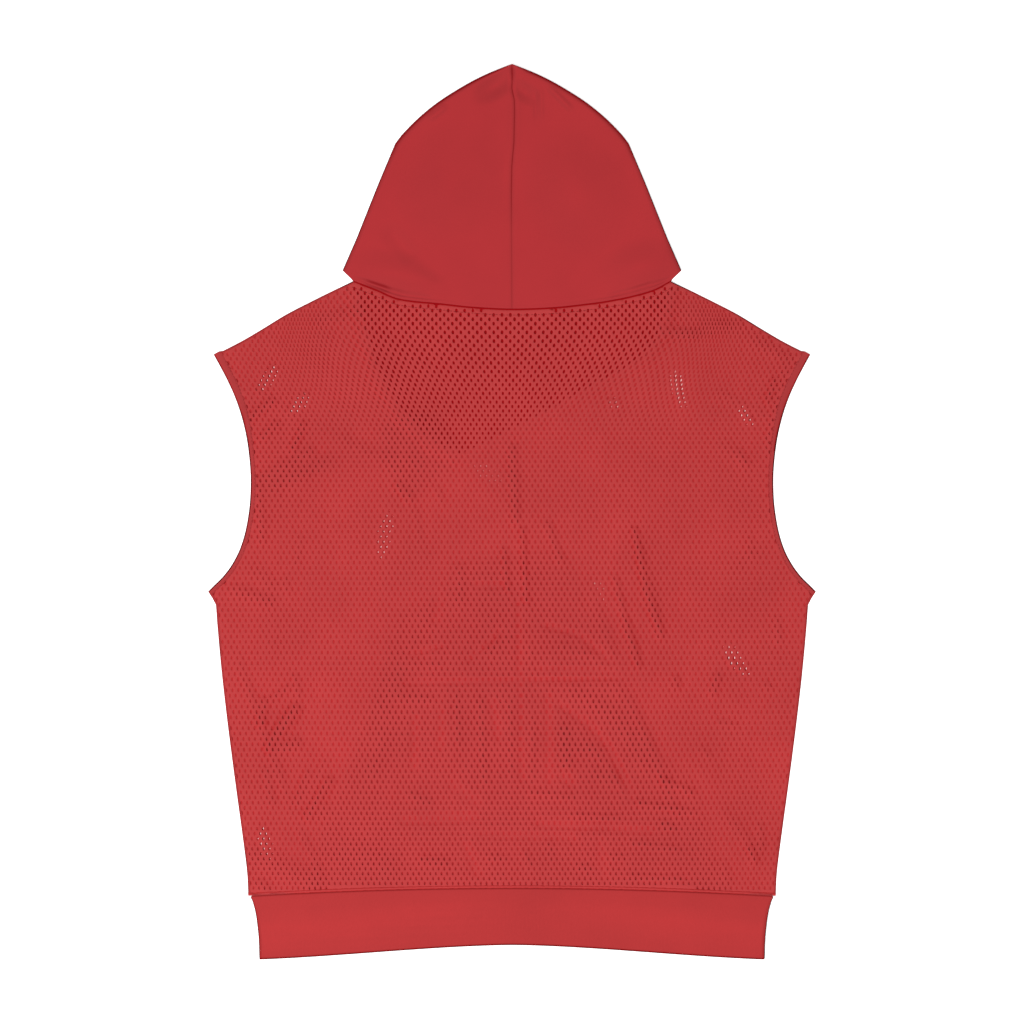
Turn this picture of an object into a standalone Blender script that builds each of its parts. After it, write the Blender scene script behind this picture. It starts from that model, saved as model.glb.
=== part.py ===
"""A sleeveless hooded top laid flat with its back up: mesh body, fleece hood, rib hem band.

Metres, +Z up. The garment lies in the XY plane with its hood towards +Y, and rests on Z = 0.
The origin is under the middle of the whole outline. Six cut pieces, each its own closed wall:
back, front, hood_left, hood_right, hem_band and pocket. The front is down, so the pocket is the
lowest layer, then the front panel and the turned-under sides of the hood, then the back panel
and the upper side of the hood.
"""

import math

import bpy

# --- Driving dimensions ---------------------------------------------------------------------

GAP = 0.0003  # between pieces at a seam, and between layers that lie on each other
MESH_WALL = 0.0010  # knitted mesh of the body and the pocket
FLEECE_WALL = 0.0020  # brushed jersey of the hood
RIB_WALL = 0.0020  # rib of the hem band, folded double
LAYER_GAP = 0.0005  # between the front panel and the back panel on it

UNDERARM_Y = -0.0796
BACK_NECK_LOW, BACK_NECK_RISE, BACK_NECK_POWER = 0.2022, 0.0268, 2.8

EDGE_BAND = 0.0100  # turned hem of an armhole, and the seam allowance down the side
ARMHOLE_RAISE, SIDE_RAISE = 0.0008, 0.0004  # how far those stand above the panel
EDGE_STEP = 0.0015  # run of the step from the panel up to them
ROW_MOST = 0.0300  # rows of a body panel are no further apart at its sides

HEM_SEAM_Y, HEM_SEAM_RISE = -0.3838, 0.0080  # body's lower edge: at the sides, and its rise
HEM_RISE_FADES = 0.1000  # height over which that rise dies out in the rows above
HEM_BOTTOM_MID, HEM_BOTTOM_DROP, HEM_BOTTOM_POWER = -0.4330, 0.0145, 1.3
HEM_BOTTOM_HALF = 0.2527
BAND_COLUMNS = 26  # across each side of the band

HOOD_TIP = (0.1675, 0.2415)  # lowest point of the side fold, before its round
HOOD_CORNER = (0.1148, 0.3685)  # where the face opening's edge turns under
HOOD_PEAK_Y = 0.4475
HOOD_SEAM_TOP = 0.3720  # centre-seam end of the row that runs to HOOD_CORNER
NECK_VEE = (-0.0515, 0.0585)  # lowest point of the front neckline, where the hood's edges meet
THROAT = (-0.0100, 0.2270)  # up to here the hood's front edges lie side by side, then part
THROAT_SHARE = 0.5  # share of the turned-under rows that end on that stretch
HOOD_ROWS = 10  # from the neck seam to the row that ends at HOOD_CORNER

# Side of the body from the hem seam up, round the underarm and up the armhole.
# y: height in the flat garment; half: distance from the centre line
SIDE = (
    (-0.3838, 0.2638),
    (-0.3585, 0.2652),
    (-0.3185, 0.2703),
    (-0.2785, 0.2758),
    (-0.2385, 0.2811),
    (-0.1985, 0.2861),
    (-0.1585, 0.2906),
    (-0.1185, 0.2943),
    (-0.0950, 0.2962),
    (-0.0860, 0.2998),
    (-0.0796, 0.3040),
    (-0.0735, 0.2980),
    (-0.0645, 0.2890),
    (-0.0525, 0.2801),
    (-0.0365, 0.2720),
    (-0.0165, 0.2661),
    (0.0075, 0.2624),
    (0.0315, 0.2614),
    (0.0515, 0.2625),
    (0.0735, 0.2654),
    (0.0935, 0.2700),
    (0.1135, 0.2766),
    (0.1315, 0.2846),
    (0.1455, 0.2919),
    (0.1575, 0.2985),
)

# Shoulder from its tip, over the small bump of the hem's end, to the neck corner.
# half: distance from the centre line; y: height
SHOULDER = (
    (0.2985, 0.1575),
    (0.2932, 0.1606),
    (0.2890, 0.1612),
    (0.2695, 0.1713),
    (0.2495, 0.1831),
    (0.2255, 0.1977),
    (0.2015, 0.2101),
    (0.1775, 0.2213),
    (0.1565, 0.2290),
)
SHOULDER_TIP, NECK_CORNER = SHOULDER[0], SHOULDER[-1]

# Front neckline, as the front lies under the back: the garment is laid a little askew.
# x: across; front_y: the front neckline's height there
FRONT_NECK = (
    (-0.1565, 0.2290),
    (-0.1460, 0.1820),
    (-0.1300, 0.1350),
    (-0.1050, 0.0960),
    (-0.0785, 0.0715),
    (-0.0515, 0.0585),
    (-0.0250, 0.0710),
    (0.0000, 0.0840),
    (0.0250, 0.0965),
    (0.0520, 0.1110),
    (0.0800, 0.1270),
    (0.1050, 0.1400),
    (0.1300, 0.1550),
    (0.1470, 0.1800),
    (0.1565, 0.2290),
)

# Edge of the face opening on the hood's upper layer, from the corner to the peak.
# half: distance from the centre line; y: height
FACE_ARC = (
    (0.1165, 0.3685),
    (0.1075, 0.3795),
    (0.0915, 0.3955),
    (0.0715, 0.4115),
    (0.0455, 0.4275),
    (0.0235, 0.4385),
)

# Hem band, from its lower edge to the seam with the body.
# part: share of the band's height; half: half its width there
BAND = (
    (0.00, 0.2527),
    (0.30, 0.2531),
    (0.60, 0.2550),
    (0.82, 0.2575),
    (1.00, 0.2612),
)

# Kangaroo pocket on the front, from the hem seam up its slanted hand openings.
# y: height; left, right: its two edges
POCKET = (
    (-0.3780, -0.1840, 0.2000),
    (-0.3450, -0.1820, 0.1970),
    (-0.3150, -0.1770, 0.1900),
    (-0.2800, -0.1600, 0.1700),
    (-0.2450, -0.1430, 0.1510),
    (-0.2060, -0.1240, 0.1310),
    (-0.1685, -0.1065, 0.1120),
)
POCKET_COLUMNS = 12

# Largest folds of the back panel, soft ridges over a flat front.
# x0, y0, x1, y1: its two ends; height: above the panel; half: half its width
FOLDS = (
    (-0.2515, 0.0165, -0.1565, 0.0565, 0.0022, 0.020),
    (-0.2450, 0.1000, -0.2050, 0.1420, 0.0014, 0.018),
    (-0.2860, -0.1090, -0.2070, -0.3780, 0.0014, 0.020),
    (-0.2400, -0.2350, -0.1750, -0.1500, 0.0012, 0.020),
    (0.0985, -0.0385, 0.1485, -0.1400, 0.0016, 0.022),
    (0.0585, -0.2085, 0.1385, -0.3035, 0.0014, 0.022),
    (0.2085, -0.2985, 0.2400, -0.3485, 0.0012, 0.018),
    (0.1635, 0.1765, 0.2285, 0.1915, 0.0012, 0.018),
    (0.0035, 0.0645, 0.0085, -0.2615, 0.0012, 0.018),
)

# Soft swells of the hood's upper layer.
# x, y: middle; long, wide: half sizes; turn: degrees from +X; height
SWELLS = (
    (-0.1120, 0.2310, 0.050, 0.018, -8, 0.0050),
    (0.1280, 0.2450, 0.040, 0.020, 12, 0.0040),
    (-0.0600, 0.3300, 0.060, 0.050, 60, 0.0016),
    (0.0650, 0.3200, 0.060, 0.050, 115, 0.0016),
)

FLAT_REACH, FADE_REACH = 0.022, 0.060  # a layer lifts the one on it this far out, then fades

COLORS = {
    "mesh": (0.50, 0.045, 0.052),
    "fleece": (0.45, 0.035, 0.040),
    "rib": (0.52, 0.047, 0.050),
}
FABRIC_ROUGHNESS = 0.9


# --- Small helpers --------------------------------------------------------------------------


def smooth(t):
    """0 to 1 with flat ends."""
    t = min(max(t, 0.0), 1.0)
    return t * t * (3 - 2 * t)


def mix(a, b, t):
    return tuple(p + (q - p) * t for p, q in zip(a, b))


def to_segment(point, a, b):
    """Distance from a point to a segment in the plane."""
    (px, py), (ax, ay), (bx, by) = point, a, b
    run = (bx - ax) ** 2 + (by - ay) ** 2
    t = ((px - ax) * (bx - ax) + (py - ay) * (by - ay)) / run
    t = min(max(t, 0.0), 1.0)
    return math.hypot(px - ax - t * (bx - ax), py - ay - t * (by - ay))


def inside(point, outline):
    """Whether a point lies within a closed outline."""
    x, y = point
    found = False
    for (ax, ay), (bx, by) in zip(outline, outline[1:] + outline[:1]):
        if (ay > y) != (by > y) and x < ax + (y - ay) / (by - ay) * (bx - ax):
            found = not found
    return found


def lift_over(point, outline):
    """1 over an outline and FLAT_REACH around it, falling to 0 at FADE_REACH."""
    if inside(point, outline):
        return 1.0
    away = min(to_segment(point, a, b) for a, b in zip(outline, outline[1:] + outline[:1]))
    return 1 - smooth((away - FLAT_REACH) / (FADE_REACH - FLAT_REACH))


def offset_left(line, distance):
    """An open line moved to its left by a distance, with mitred corners."""
    moved = []
    for i, (x, y) in enumerate(line):
        before = line[max(i - 1, 0)]
        after = line[min(i + 1, len(line) - 1)]
        first = math.atan2(y - before[1], x - before[0])
        second = math.atan2(after[1] - y, after[0] - x)
        if i == 0:
            first = second
        if i == len(line) - 1:
            second = first
        half_turn = math.remainder(second - first, math.tau) / 2
        heading = first + half_turn + math.pi / 2
        reach = distance / max(math.cos(half_turn), 0.5)
        moved.append((x + reach * math.cos(heading), y + reach * math.sin(heading)))
    return moved


# --- Outlines -------------------------------------------------------------------------------


def back_neck_y(x):
    return BACK_NECK_LOW + BACK_NECK_RISE * (abs(x) / NECK_CORNER[0]) ** BACK_NECK_POWER


def shoulder_y(x):
    for outer, inner in zip(SHOULDER, SHOULDER[1:]):
        if abs(x) >= inner[0]:
            break
    return mix(outer, inner, (outer[0] - abs(x)) / (outer[0] - inner[0]))[1]


def hem_seam_y(x):
    return HEM_SEAM_Y + HEM_SEAM_RISE * (1 - (x / SIDE[0][1]) ** 2)


def hem_bottom_y(x):
    """The band's lower edge: it drops to both sides, and levels out near its corners."""
    out = abs(x) / HEM_BOTTOM_HALF
    return HEM_BOTTOM_MID - HEM_BOTTOM_DROP * (out**HEM_BOTTOM_POWER + smooth(out)) / 2


NECK_XS = [x for x, _ in FRONT_NECK]
HOOD_UNDER = [
    (-HOOD_TIP[0], HOOD_TIP[1]),
    *FRONT_NECK,
    HOOD_TIP,
    HOOD_CORNER,
    (-HOOD_CORNER[0], HOOD_CORNER[1]),
]
POCKET_OUTLINE = [(right, y) for y, _, right in POCKET]
POCKET_OUTLINE += [(left, y) for y, left, _ in reversed(POCKET)]


# --- Heights --------------------------------------------------------------------------------


def front_bottom(x, y):
    """The front panel lies on the floor, and over the pocket on that."""
    return (MESH_WALL + GAP) * lift_over((x, y), POCKET_OUTLINE)


def fold_height(x, y):
    """The soft ridges of FOLDS at a point of the back panel."""
    height = 0.0
    for x0, y0, x1, y1, peak, half in FOLDS:
        away = to_segment((x, y), (x0, y0), (x1, y1))
        height = max(height, peak * (1 - smooth(away / half)))
    return height


def back_bottom(x, y):
    """The back panel lies on the front panel, or on the hood's turned-under sides."""
    on_front = front_bottom(x, y) + MESH_WALL + LAYER_GAP
    hood_lift = (FLEECE_WALL - MESH_WALL) * lift_over((x, y), HOOD_UNDER)
    return on_front + hood_lift + fold_height(x, y)


def hood_swell(x, y):
    """The soft swells of SWELLS at a point of the hood's upper layer."""
    height = 0.0
    for cx, cy, long, wide, turn, peak in SWELLS:
        angle = math.radians(turn)
        along = ((x - cx) * math.cos(angle) + (y - cy) * math.sin(angle)) / long
        across = ((y - cy) * math.cos(angle) - (x - cx) * math.sin(angle)) / wide
        height += peak * (1 - smooth(math.hypot(along, across)))
    return height


# --- Making walls ---------------------------------------------------------------------------


def cloth(name):
    made = bpy.data.materials.new(name)
    made.use_nodes = True
    shader = made.node_tree.nodes["Principled BSDF"]
    shader.inputs["Base Color"].default_value = (*COLORS[name], 1)
    shader.inputs["Roughness"].default_value = FABRIC_ROUGHNESS
    shader.inputs["Metallic"].default_value = 0
    return made


def wall(name, outer, inner, faces, rim, material):
    """A closed wall from an outer and an inner point for each corner of a patch of cloth.

    faces index the points and face out; rim lists the patch's edges, each as its face runs it.
    """
    count = len(outer)
    sides = [tuple(face) for face in faces]
    sides += [tuple(count + i for i in reversed(face)) for face in faces]
    sides += [(b, a, count + a, count + b) for a, b in rim]
    data = bpy.data.meshes.new(name)
    data.from_pydata([*outer, *inner], [], sides)
    data.materials.append(material)
    data.shade_smooth()
    data.set_sharp_from_angle(angle=math.radians(40))
    made = bpy.data.objects.new(name, data)
    bpy.context.scene.collection.objects.link(made)
    return made


def rim_of(faces):
    """The edges that only one face runs along."""
    runs = [edge for face in faces for edge in zip(face, face[1:] + face[:1])]
    single = set(runs)
    return [(a, b) for a, b in runs if (b, a) not in single]


def grid_faces(rows, columns):
    """Quads over a grid of points, row by row from the bottom left, facing up."""
    faces = []
    for r in range(rows - 1):
        for c in range(columns - 1):
            at = r * columns + c
            faces.append((at, at + 1, at + columns + 1, at + columns))
    return faces


def panel_columns():
    """The columns of a body panel where they end, along its shoulders and neckline.

    x: across; edge: which line of the edge band, 0 for none
    """
    reach = SHOULDER_TIP[0] - EDGE_BAND
    shoulder = [x for x, _ in reversed(SHOULDER[:-1]) if x < reach]
    right = [(x, 0) for x in [*shoulder, reach]] + [(reach, 1), (SHOULDER_TIP[0], 2)]
    left = [(-x, edge) for x, edge in reversed(right)]
    return left + [(x, 0) for x in NECK_XS] + right


def column_x(top_x, edge, half, above):
    """Where a column crosses a row: upright under the neck, and spread evenly outside it."""
    if edge:
        return math.copysign(half - EDGE_BAND + EDGE_STEP if edge == 1 else half, top_x)
    reach, inner = SHOULDER_TIP[0] - EDGE_BAND, half - EDGE_BAND
    neck = NECK_CORNER[0] * (inner + (reach - inner) * smooth(2 * above)) / reach
    if abs(top_x) <= NECK_CORNER[0]:
        return top_x * neck / NECK_CORNER[0]
    out = (abs(top_x) - NECK_CORNER[0]) / (reach - NECK_CORNER[0])
    return math.copysign(neck + (inner - neck) * out, top_x)


def side_rows():
    """The rows of SIDE, with a row between any two that are more than ROW_MOST apart."""
    rows = [SIDE[0]]
    for row in SIDE[1:]:
        if row[0] - rows[-1][0] > ROW_MOST:
            rows.append(mix(rows[-1], row, 0.5))
        rows.append(row)
    return rows


def panel_rows(neck_line):
    """Rows of (x, y, raise) points of a body panel whose neckline is given."""
    neck = dict(neck_line)
    rows = []
    for y, half in side_rows():
        above = max(y - UNDERARM_Y, 0.0) / (SHOULDER_TIP[1] - UNDERARM_Y)
        near_hem = max(1 - (y - HEM_SEAM_Y) / HEM_RISE_FADES, 0.0)
        raised = ARMHOLE_RAISE if y >= UNDERARM_Y else SIDE_RAISE
        row = []
        for top_x, edge in panel_columns():
            x = column_x(top_x, edge, half, above)
            top = neck[top_x] if top_x in neck else shoulder_y(top_x)
            rise = above * (top - SHOULDER_TIP[1]) + near_hem * (hem_seam_y(x) - HEM_SEAM_Y)
            row.append((x, y + rise, raised if edge else 0.0))
        rows.append(row)
    return rows


def panel(name, neck_line, bottom, raise_edges, material):
    rows = panel_rows(neck_line)
    outer, inner = [], []
    for row in rows:
        for x, y, raised in row:
            low = bottom(x, y)
            inner.append((x, y, low))
            outer.append((x, y, low + MESH_WALL + (raised if raise_edges else 0.0)))
    faces = grid_faces(len(rows), len(rows[0]))
    return wall(name, outer, inner, faces, rim_of(faces), material)


def make_back(material):
    line = [(x, back_neck_y(x)) for x in NECK_XS]
    return panel("back", line, back_bottom, True, material)


def make_front(material):
    return panel("front", FRONT_NECK, front_bottom, False, material)


def make_pocket(material):
    outer, inner = [], []
    for y, left, right in POCKET:
        lift = max(1 - (y - POCKET[0][0]) / HEM_RISE_FADES, 0.0)
        for c in range(POCKET_COLUMNS + 1):
            x = left + (right - left) * c / POCKET_COLUMNS
            at = y + lift * (hem_seam_y(x) - hem_seam_y(left))
            outer.append((x, at, MESH_WALL))
            inner.append((x, at, 0.0))
    faces = grid_faces(len(POCKET), POCKET_COLUMNS + 1)
    return wall("pocket", outer, inner, faces, rim_of(faces), material)


# --- Hem band -------------------------------------------------------------------------------


def band_section(half, part, out):
    """One ring of the band, seen from its lower edge: over the top and back underneath.

    out is 1 on the wall's outside and 0 on its inside.
    """
    low = 0.0 if out else RIB_WALL
    high = 2 * RIB_WALL + GAP if out else RIB_WALL + GAP
    turn = half if out else half - RIB_WALL
    shoulder = turn - (high - low) / 2
    xs = [shoulder * (1 - 2 * i / BAND_COLUMNS) for i in range(BAND_COLUMNS + 1)]
    middle = (low + high) / 2
    ring = [(x, high) for x in xs] + [(-turn, middle)]
    ring += [(x, low) for x in reversed(xs)] + [(turn, middle)]
    points = []
    for x, z in ring:
        bottom, top = hem_bottom_y(x), hem_seam_y(x) - GAP
        points.append((x, bottom + (top - bottom) * part, z))
    return points


def make_hem_band(material):
    outer, inner = [], []
    for part, half in BAND:
        outer += band_section(half, part, 1)
        inner += band_section(half, part, 0)
    around = len(outer) // len(BAND)
    faces = []
    for r in range(len(BAND) - 1):
        for c in range(around):
            here, after = r * around + c, r * around + (c + 1) % around
            faces.append((here, here + around, after + around, after))
    return wall("hem_band", outer, inner, faces, rim_of(faces), material)


# --- Hood -----------------------------------------------------------------------------------


def hood_layer_heights():
    """Heights of the hood's folded wall: under layer's outside and inside, upper's inside."""
    return 0.0, FLEECE_WALL, FLEECE_WALL + GAP


def upper_row(along, neck):
    """One row of the upper layer, from the centre seam to the side fold."""
    seam = mix((neck[0][0], neck[0][1]), (neck[0][0], HOOD_SEAM_TOP), along)
    fold = mix(neck[-1], HOOD_CORNER, along)
    keep = (1 - along) ** 2
    row = []
    for x, y in neck:
        share = (x - neck[0][0]) / (neck[-1][0] - neck[0][0])
        straight = mix(neck[0], neck[-1], share)
        at = mix(seam, fold, share)
        row.append((at[0] + keep * (x - straight[0]), at[1] + keep * (y - straight[1])))
    return row


def under_row(along, neck, throat):
    """One row of the layer that is turned under, from the side fold to the face edge."""
    fold = mix(neck[0], HOOD_CORNER, along)
    if along < THROAT_SHARE:
        edge = mix(neck[-1], throat, along / THROAT_SHARE)
    else:
        edge = mix(throat, HOOD_CORNER, (along - THROAT_SHARE) / (1 - THROAT_SHARE))
    keep = (1 - along) ** 2
    last = len(neck) - 1
    row = []
    for i, (x, y) in enumerate(neck):
        straight = mix(neck[0], neck[-1], i / last)
        at = mix(fold, edge, i / last)
        row.append((at[0] + keep * (x - straight[0]), at[1] + keep * (y - straight[1])))
    return row


def make_hood(name, side, material):
    """Half of the hood: its upper layer, the side fold, and the layer turned under it.

    It is worked out for the right side, and side is -1 for the left one.
    """
    floor, under_top, upper_low = hood_layer_heights()
    fold_middle = (under_top + upper_low) / 2
    half_xs = [x for x in (side * x for x in NECK_XS) if x > GAP]
    half_xs.sort()
    back_neck = [(GAP / 2, back_neck_y(0) + GAP)]
    back_neck += [(x, back_neck_y(x) + GAP) for x in half_xs[:-1]]
    back_neck += [(NECK_CORNER[0] + GAP / 2, NECK_CORNER[1] + 2 * GAP), HOOD_TIP]
    mirrored = [(side * x, y) for x, y in FRONT_NECK]
    mirrored.sort(reverse=True)
    vee_x = side * NECK_VEE[0]
    front_neck = [p for p in mirrored if p[0] >= vee_x - GAP / 2]
    front_neck = offset_left([(-x, y) for x, y in front_neck], GAP)
    front_neck = [HOOD_TIP] + [(-x, y) for x, y in front_neck]
    vee = front_neck[-1]
    front_neck[-1] = (vee[0] + GAP / 2, vee[1] + 2 * GAP)
    throat = (side * THROAT[0] + GAP / 2, THROAT[1])

    outer, inner, rows = [], [], []

    def add(point, out_z, in_z, push=0.0):
        """A corner of the cloth; push moves its outer point out past the side fold."""
        x, y = point
        outer.append((side * (x + push), y, out_z))
        inner.append((side * (x + push / 5), y, in_z))
        return len(outer) - 1

    for r in range(HOOD_ROWS):
        along = r / HOOD_ROWS
        row = []
        for x, y in upper_row(along, back_neck):
            low = upper_low + hood_swell(side * x, y)
            row.append(add((x, y), low + FLEECE_WALL, low))
        turned = under_row(along, front_neck, throat)
        row.append(add(turned[0], fold_middle, fold_middle, FLEECE_WALL))
        row += [add(point, floor, under_top) for point in turned]
        rows.append(row)

    # The row to the corner, where the face edge crosses the fold, and those above it.
    upper = len(back_neck)
    row = []
    for x, y in upper_row(1.0, back_neck):
        low = upper_low + hood_swell(side * x, y)
        row.append(add((x, y), low + FLEECE_WALL, low))
    corner = add(HOOD_CORNER, fold_middle, fold_middle, FLEECE_WALL)
    rows.append(row)
    for i, (arc_x, arc_y) in enumerate(FACE_ARC[1:], start=1):
        seam_y = HOOD_SEAM_TOP + (HOOD_PEAK_Y - HOOD_SEAM_TOP) * i / len(FACE_ARC)
        row = []
        for c in range(upper):
            x, y = mix((GAP / 2, seam_y), (arc_x, arc_y), c / (upper - 1))
            low = upper_low + hood_swell(side * x, y)
            row.append(add((x, y), low + FLEECE_WALL, low))
        rows.append(row)
    peak = add((GAP / 2, HOOD_PEAK_Y), upper_low + FLEECE_WALL, upper_low)

    faces = []
    for r in range(HOOD_ROWS - 1):
        for c in range(len(rows[r]) - 1):
            faces.append((rows[r][c], rows[r][c + 1], rows[r + 1][c + 1], rows[r + 1][c]))
    below, above = rows[HOOD_ROWS - 1], rows[HOOD_ROWS]
    for c in range(upper - 1):
        faces.append((below[c], below[c + 1], above[c + 1], above[c]))
    faces.append((below[upper - 1], below[upper], corner, above[upper - 1]))
    for c in range(upper, len(below) - 1):
        faces.append((below[c], below[c + 1], corner))
    for r in range(HOOD_ROWS, len(rows) - 1):
        for c in range(upper - 1):
            faces.append((rows[r][c], rows[r][c + 1], rows[r + 1][c + 1], rows[r + 1][c]))
    faces.append((above[upper - 1], corner, rows[HOOD_ROWS + 1][upper - 1]))
    for c in range(upper - 1):
        faces.append((rows[-1][c], rows[-1][c + 1], peak))
    if side < 0:
        faces = [tuple(reversed(face)) for face in faces]
    return wall(name, outer, inner, faces, rim_of(faces), material)


# --- The garment ----------------------------------------------------------------------------


def clear_scene():
    for old in list(bpy.data.objects):
        bpy.data.objects.remove(old, do_unlink=True)


def main():
    clear_scene()
    mesh, fleece, rib = cloth("mesh"), cloth("fleece"), cloth("rib")
    make_pocket(mesh)
    make_front(mesh)
    make_back(mesh)
    make_hood("hood_left", -1, fleece)
    make_hood("hood_right", 1, fleece)
    make_hem_band(rib)


main()
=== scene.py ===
"""The looks of a sleeveless mesh hoodie laid flat with its back up.

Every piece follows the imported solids, in metres: X across, Y from hem to hood, Z up.
"""

import math

import bmesh
import bpy
import numpy as np
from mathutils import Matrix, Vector


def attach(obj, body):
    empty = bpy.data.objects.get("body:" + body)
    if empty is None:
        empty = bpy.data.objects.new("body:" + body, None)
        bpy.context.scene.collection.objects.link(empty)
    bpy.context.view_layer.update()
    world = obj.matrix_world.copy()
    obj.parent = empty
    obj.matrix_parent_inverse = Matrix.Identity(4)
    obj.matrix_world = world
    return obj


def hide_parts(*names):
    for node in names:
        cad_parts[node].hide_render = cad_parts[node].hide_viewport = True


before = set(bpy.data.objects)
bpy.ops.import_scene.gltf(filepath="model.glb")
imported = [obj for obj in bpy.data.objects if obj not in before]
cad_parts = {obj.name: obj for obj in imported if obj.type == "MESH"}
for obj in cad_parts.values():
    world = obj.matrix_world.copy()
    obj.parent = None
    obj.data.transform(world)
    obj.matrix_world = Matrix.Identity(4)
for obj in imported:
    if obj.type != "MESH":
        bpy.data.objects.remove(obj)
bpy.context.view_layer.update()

# --- Sizes shared with the solids ---

GAP = 0.0003  # between two layers
MESH_WALL = 0.0010
HEM_SEAM_Y, HEM_SEAM_RISE = -0.3838, 0.0080  # at its ends, and how much higher its middle lies
# Lower edge of the band: its middle, and how far and how steeply it drops to its ends
HEM_BOTTOM_MID, HEM_BOTTOM_DROP, HEM_BOTTOM_POWER = -0.4330, 0.0145, 1.3
HEM_BOTTOM_HALF = 0.2527  # half the width of the lower edge
HOOD_TIP = (0.1695, 0.2415)  # where the side fold starts
HOOD_CORNER = (0.1168, 0.3685)  # where it meets the face opening
SIDE_FOLD = (HOOD_TIP, (0.1555, 0.2736), (0.1338, 0.3280), HOOD_CORNER)
NECK_VEE = (-0.0515, 0.0585)  # lowest point of the front neckline
THROAT = (-0.0100, 0.2270)  # where the edge of the layer turned under bends
THROAT_SHARE = 0.5  # how far up the side fold the row that ends there starts

# Side of the body from the hem seam up to the underarm. y: height; half: half-width there
SIDE = (
    (-0.3838, 0.2638), (-0.3585, 0.2652), (-0.3185, 0.2703), (-0.2785, 0.2758), (-0.2385, 0.2811),
    (-0.1985, 0.2861), (-0.1585, 0.2906), (-0.1185, 0.2943), (-0.1, 0.2957), (-0.093, 0.2962),
    (-0.086, 0.2998), (-0.0796, 0.304),
)

# Armhole from the underarm up to the shoulder. y: height; half: half-width there
ARMHOLE = (
    (-0.0796, 0.304), (-0.0735, 0.298), (-0.0645, 0.289), (-0.0525, 0.2801), (-0.0365, 0.272),
    (-0.0165, 0.2661), (0.0075, 0.2624), (0.0315, 0.2614), (0.0515, 0.2625), (0.0735, 0.2654),
    (0.0935, 0.27), (0.1135, 0.2766), (0.1315, 0.2846), (0.1455, 0.2919), (0.1575, 0.2985),
)

# Shoulder from its tip, over the small bump of the hem's end, to the neck. half, y
SHOULDER = (
    (0.2985, 0.1575), (0.2932, 0.1606), (0.289, 0.1612), (0.2695, 0.1713), (0.2495, 0.1831),
    (0.2255, 0.1977), (0.2015, 0.2101), (0.1775, 0.222), (0.1585, 0.231),
)
NECK_CORNER = SHOULDER[-1]

# Back neckline from the left corner to the right, a little askew. x, y
BACK_NECK = (
    (-0.1585, 0.231), (-0.1454, 0.226), (-0.1326, 0.221), (-0.117, 0.2142), (-0.1, 0.211),
    (-0.07, 0.2082), (-0.04, 0.205), (0, 0.203), (0.04, 0.2044), (0.07, 0.2074), (0.095, 0.2108),
    (0.12, 0.2158), (0.142, 0.2222), (0.1585, 0.231),
)

# Front neckline, laid a little askew under the back. x, y
FRONT_NECK = (
    (-0.1585, 0.231), (-0.146, 0.182), (-0.13, 0.135), (-0.105, 0.096), (-0.0785, 0.0715),
    (-0.0515, 0.0585), (-0.025, 0.071), (0, 0.084), (0.025, 0.0965), (0.052, 0.111), (0.08, 0.127),
    (0.105, 0.14), (0.13, 0.155), (0.147, 0.18), (0.1585, 0.231),
)

# Face-opening edge of the hood, from the corner to the peak. half-width, y
FACE_ARC = (
    (0.1168, 0.3685), (0.1078, 0.3797), (0.0916, 0.3957), (0.0716, 0.4115), (0.0455, 0.4277),
    (0.0237, 0.4387), (0, 0.448),
)

# Hem band from its lower edge to the seam. part: share of its height; half: half-width there
BAND = (
    (0, 0.2527), (0.3, 0.2531), (0.6, 0.255), (0.82, 0.2575), (1, 0.2612),
)

# Kangaroo pocket from the hem seam up. y, left edge, right edge
POCKET = (
    (-0.378, -0.184, 0.2), (-0.345, -0.182, 0.197), (-0.315, -0.177, 0.19), (-0.28, -0.16, 0.17),
    (-0.245, -0.143, 0.151), (-0.206, -0.124, 0.131), (-0.1685, -0.1065, 0.112),
)
# The pocket lifts the front fully this far out from its edge, and no longer at the second distance
FLAT_REACH, FADE_REACH = 0.022, 0.060

# --- The mesh knit ---

PITCH = 0.00585  # between holes across the cloth
CORNER_SHARE = 0.64  # a cell's top corner, as a share of the way to the next row
HOLE_HALF = (0.00096, 0.00190)  # half sizes of a hole, across and along
USUAL_ROW = 0.0052  # the row spacing that goes with it
HOLE_UNEVEN, HOLE_STRETCH = 0.07, 0.22  # how far sizes differ; how much longer they get by the neck
PUFF, DIP = 0.00012, 0.00022  # how far yarn stands up between holes, and dips at their rims

# Distance between rows of holes. y, spacing there
ROW_SPACING = (
    (-0.4, 0.0047), (-0.34, 0.005), (-0.28, 0.0053), (-0.19, 0.00543), (-0.09, 0.00528),
    (0.01, 0.0051), (0.06, 0.00465), (0.11, 0.00436), (0.25, 0.00436),
)

# The neck pulls the cloth apart: how far, over what half-width, about what middle
NECK_PULL, NECK_SPREAD, NECK_MIDDLE = 0.050, 0.116, -0.006
PULL_FULL_Y, PULL_NONE_Y = 0.192, 0.078  # where it pulls fully, and no longer
SIDE_EASE, SIDE_EASE_FROM, SIDE_EASE_REACH = 0.75, 0.125, 0.105  # and less so far from it
HEM_TAPER, TAPER_FROM_Y, TAPER_REACH = 0.04, -0.12, 0.28  # the columns draw together to the hem
FIRST_ROW_Y, ROWS_PAST, COLUMNS_PAST = -0.395, 0.012, 0.10  # knit is laid out past the panels
MESH_INSET = 0.0005  # how far inside its outline a panel's mesh ends
# Widths without holes: down the sides, by the hem seam, by the neck
PLAIN_SIDE, PLAIN_HEM, PLAIN_NECK = 0.0024, 0.0010, 0.0028
UNDER_HEM = 0.0002  # how far holes run in under an armhole's hem
POCKET_HEIGHT, POCKET_PLAIN = 0.0005, 0.010  # of the pocket's mesh; width without holes round it
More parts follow.
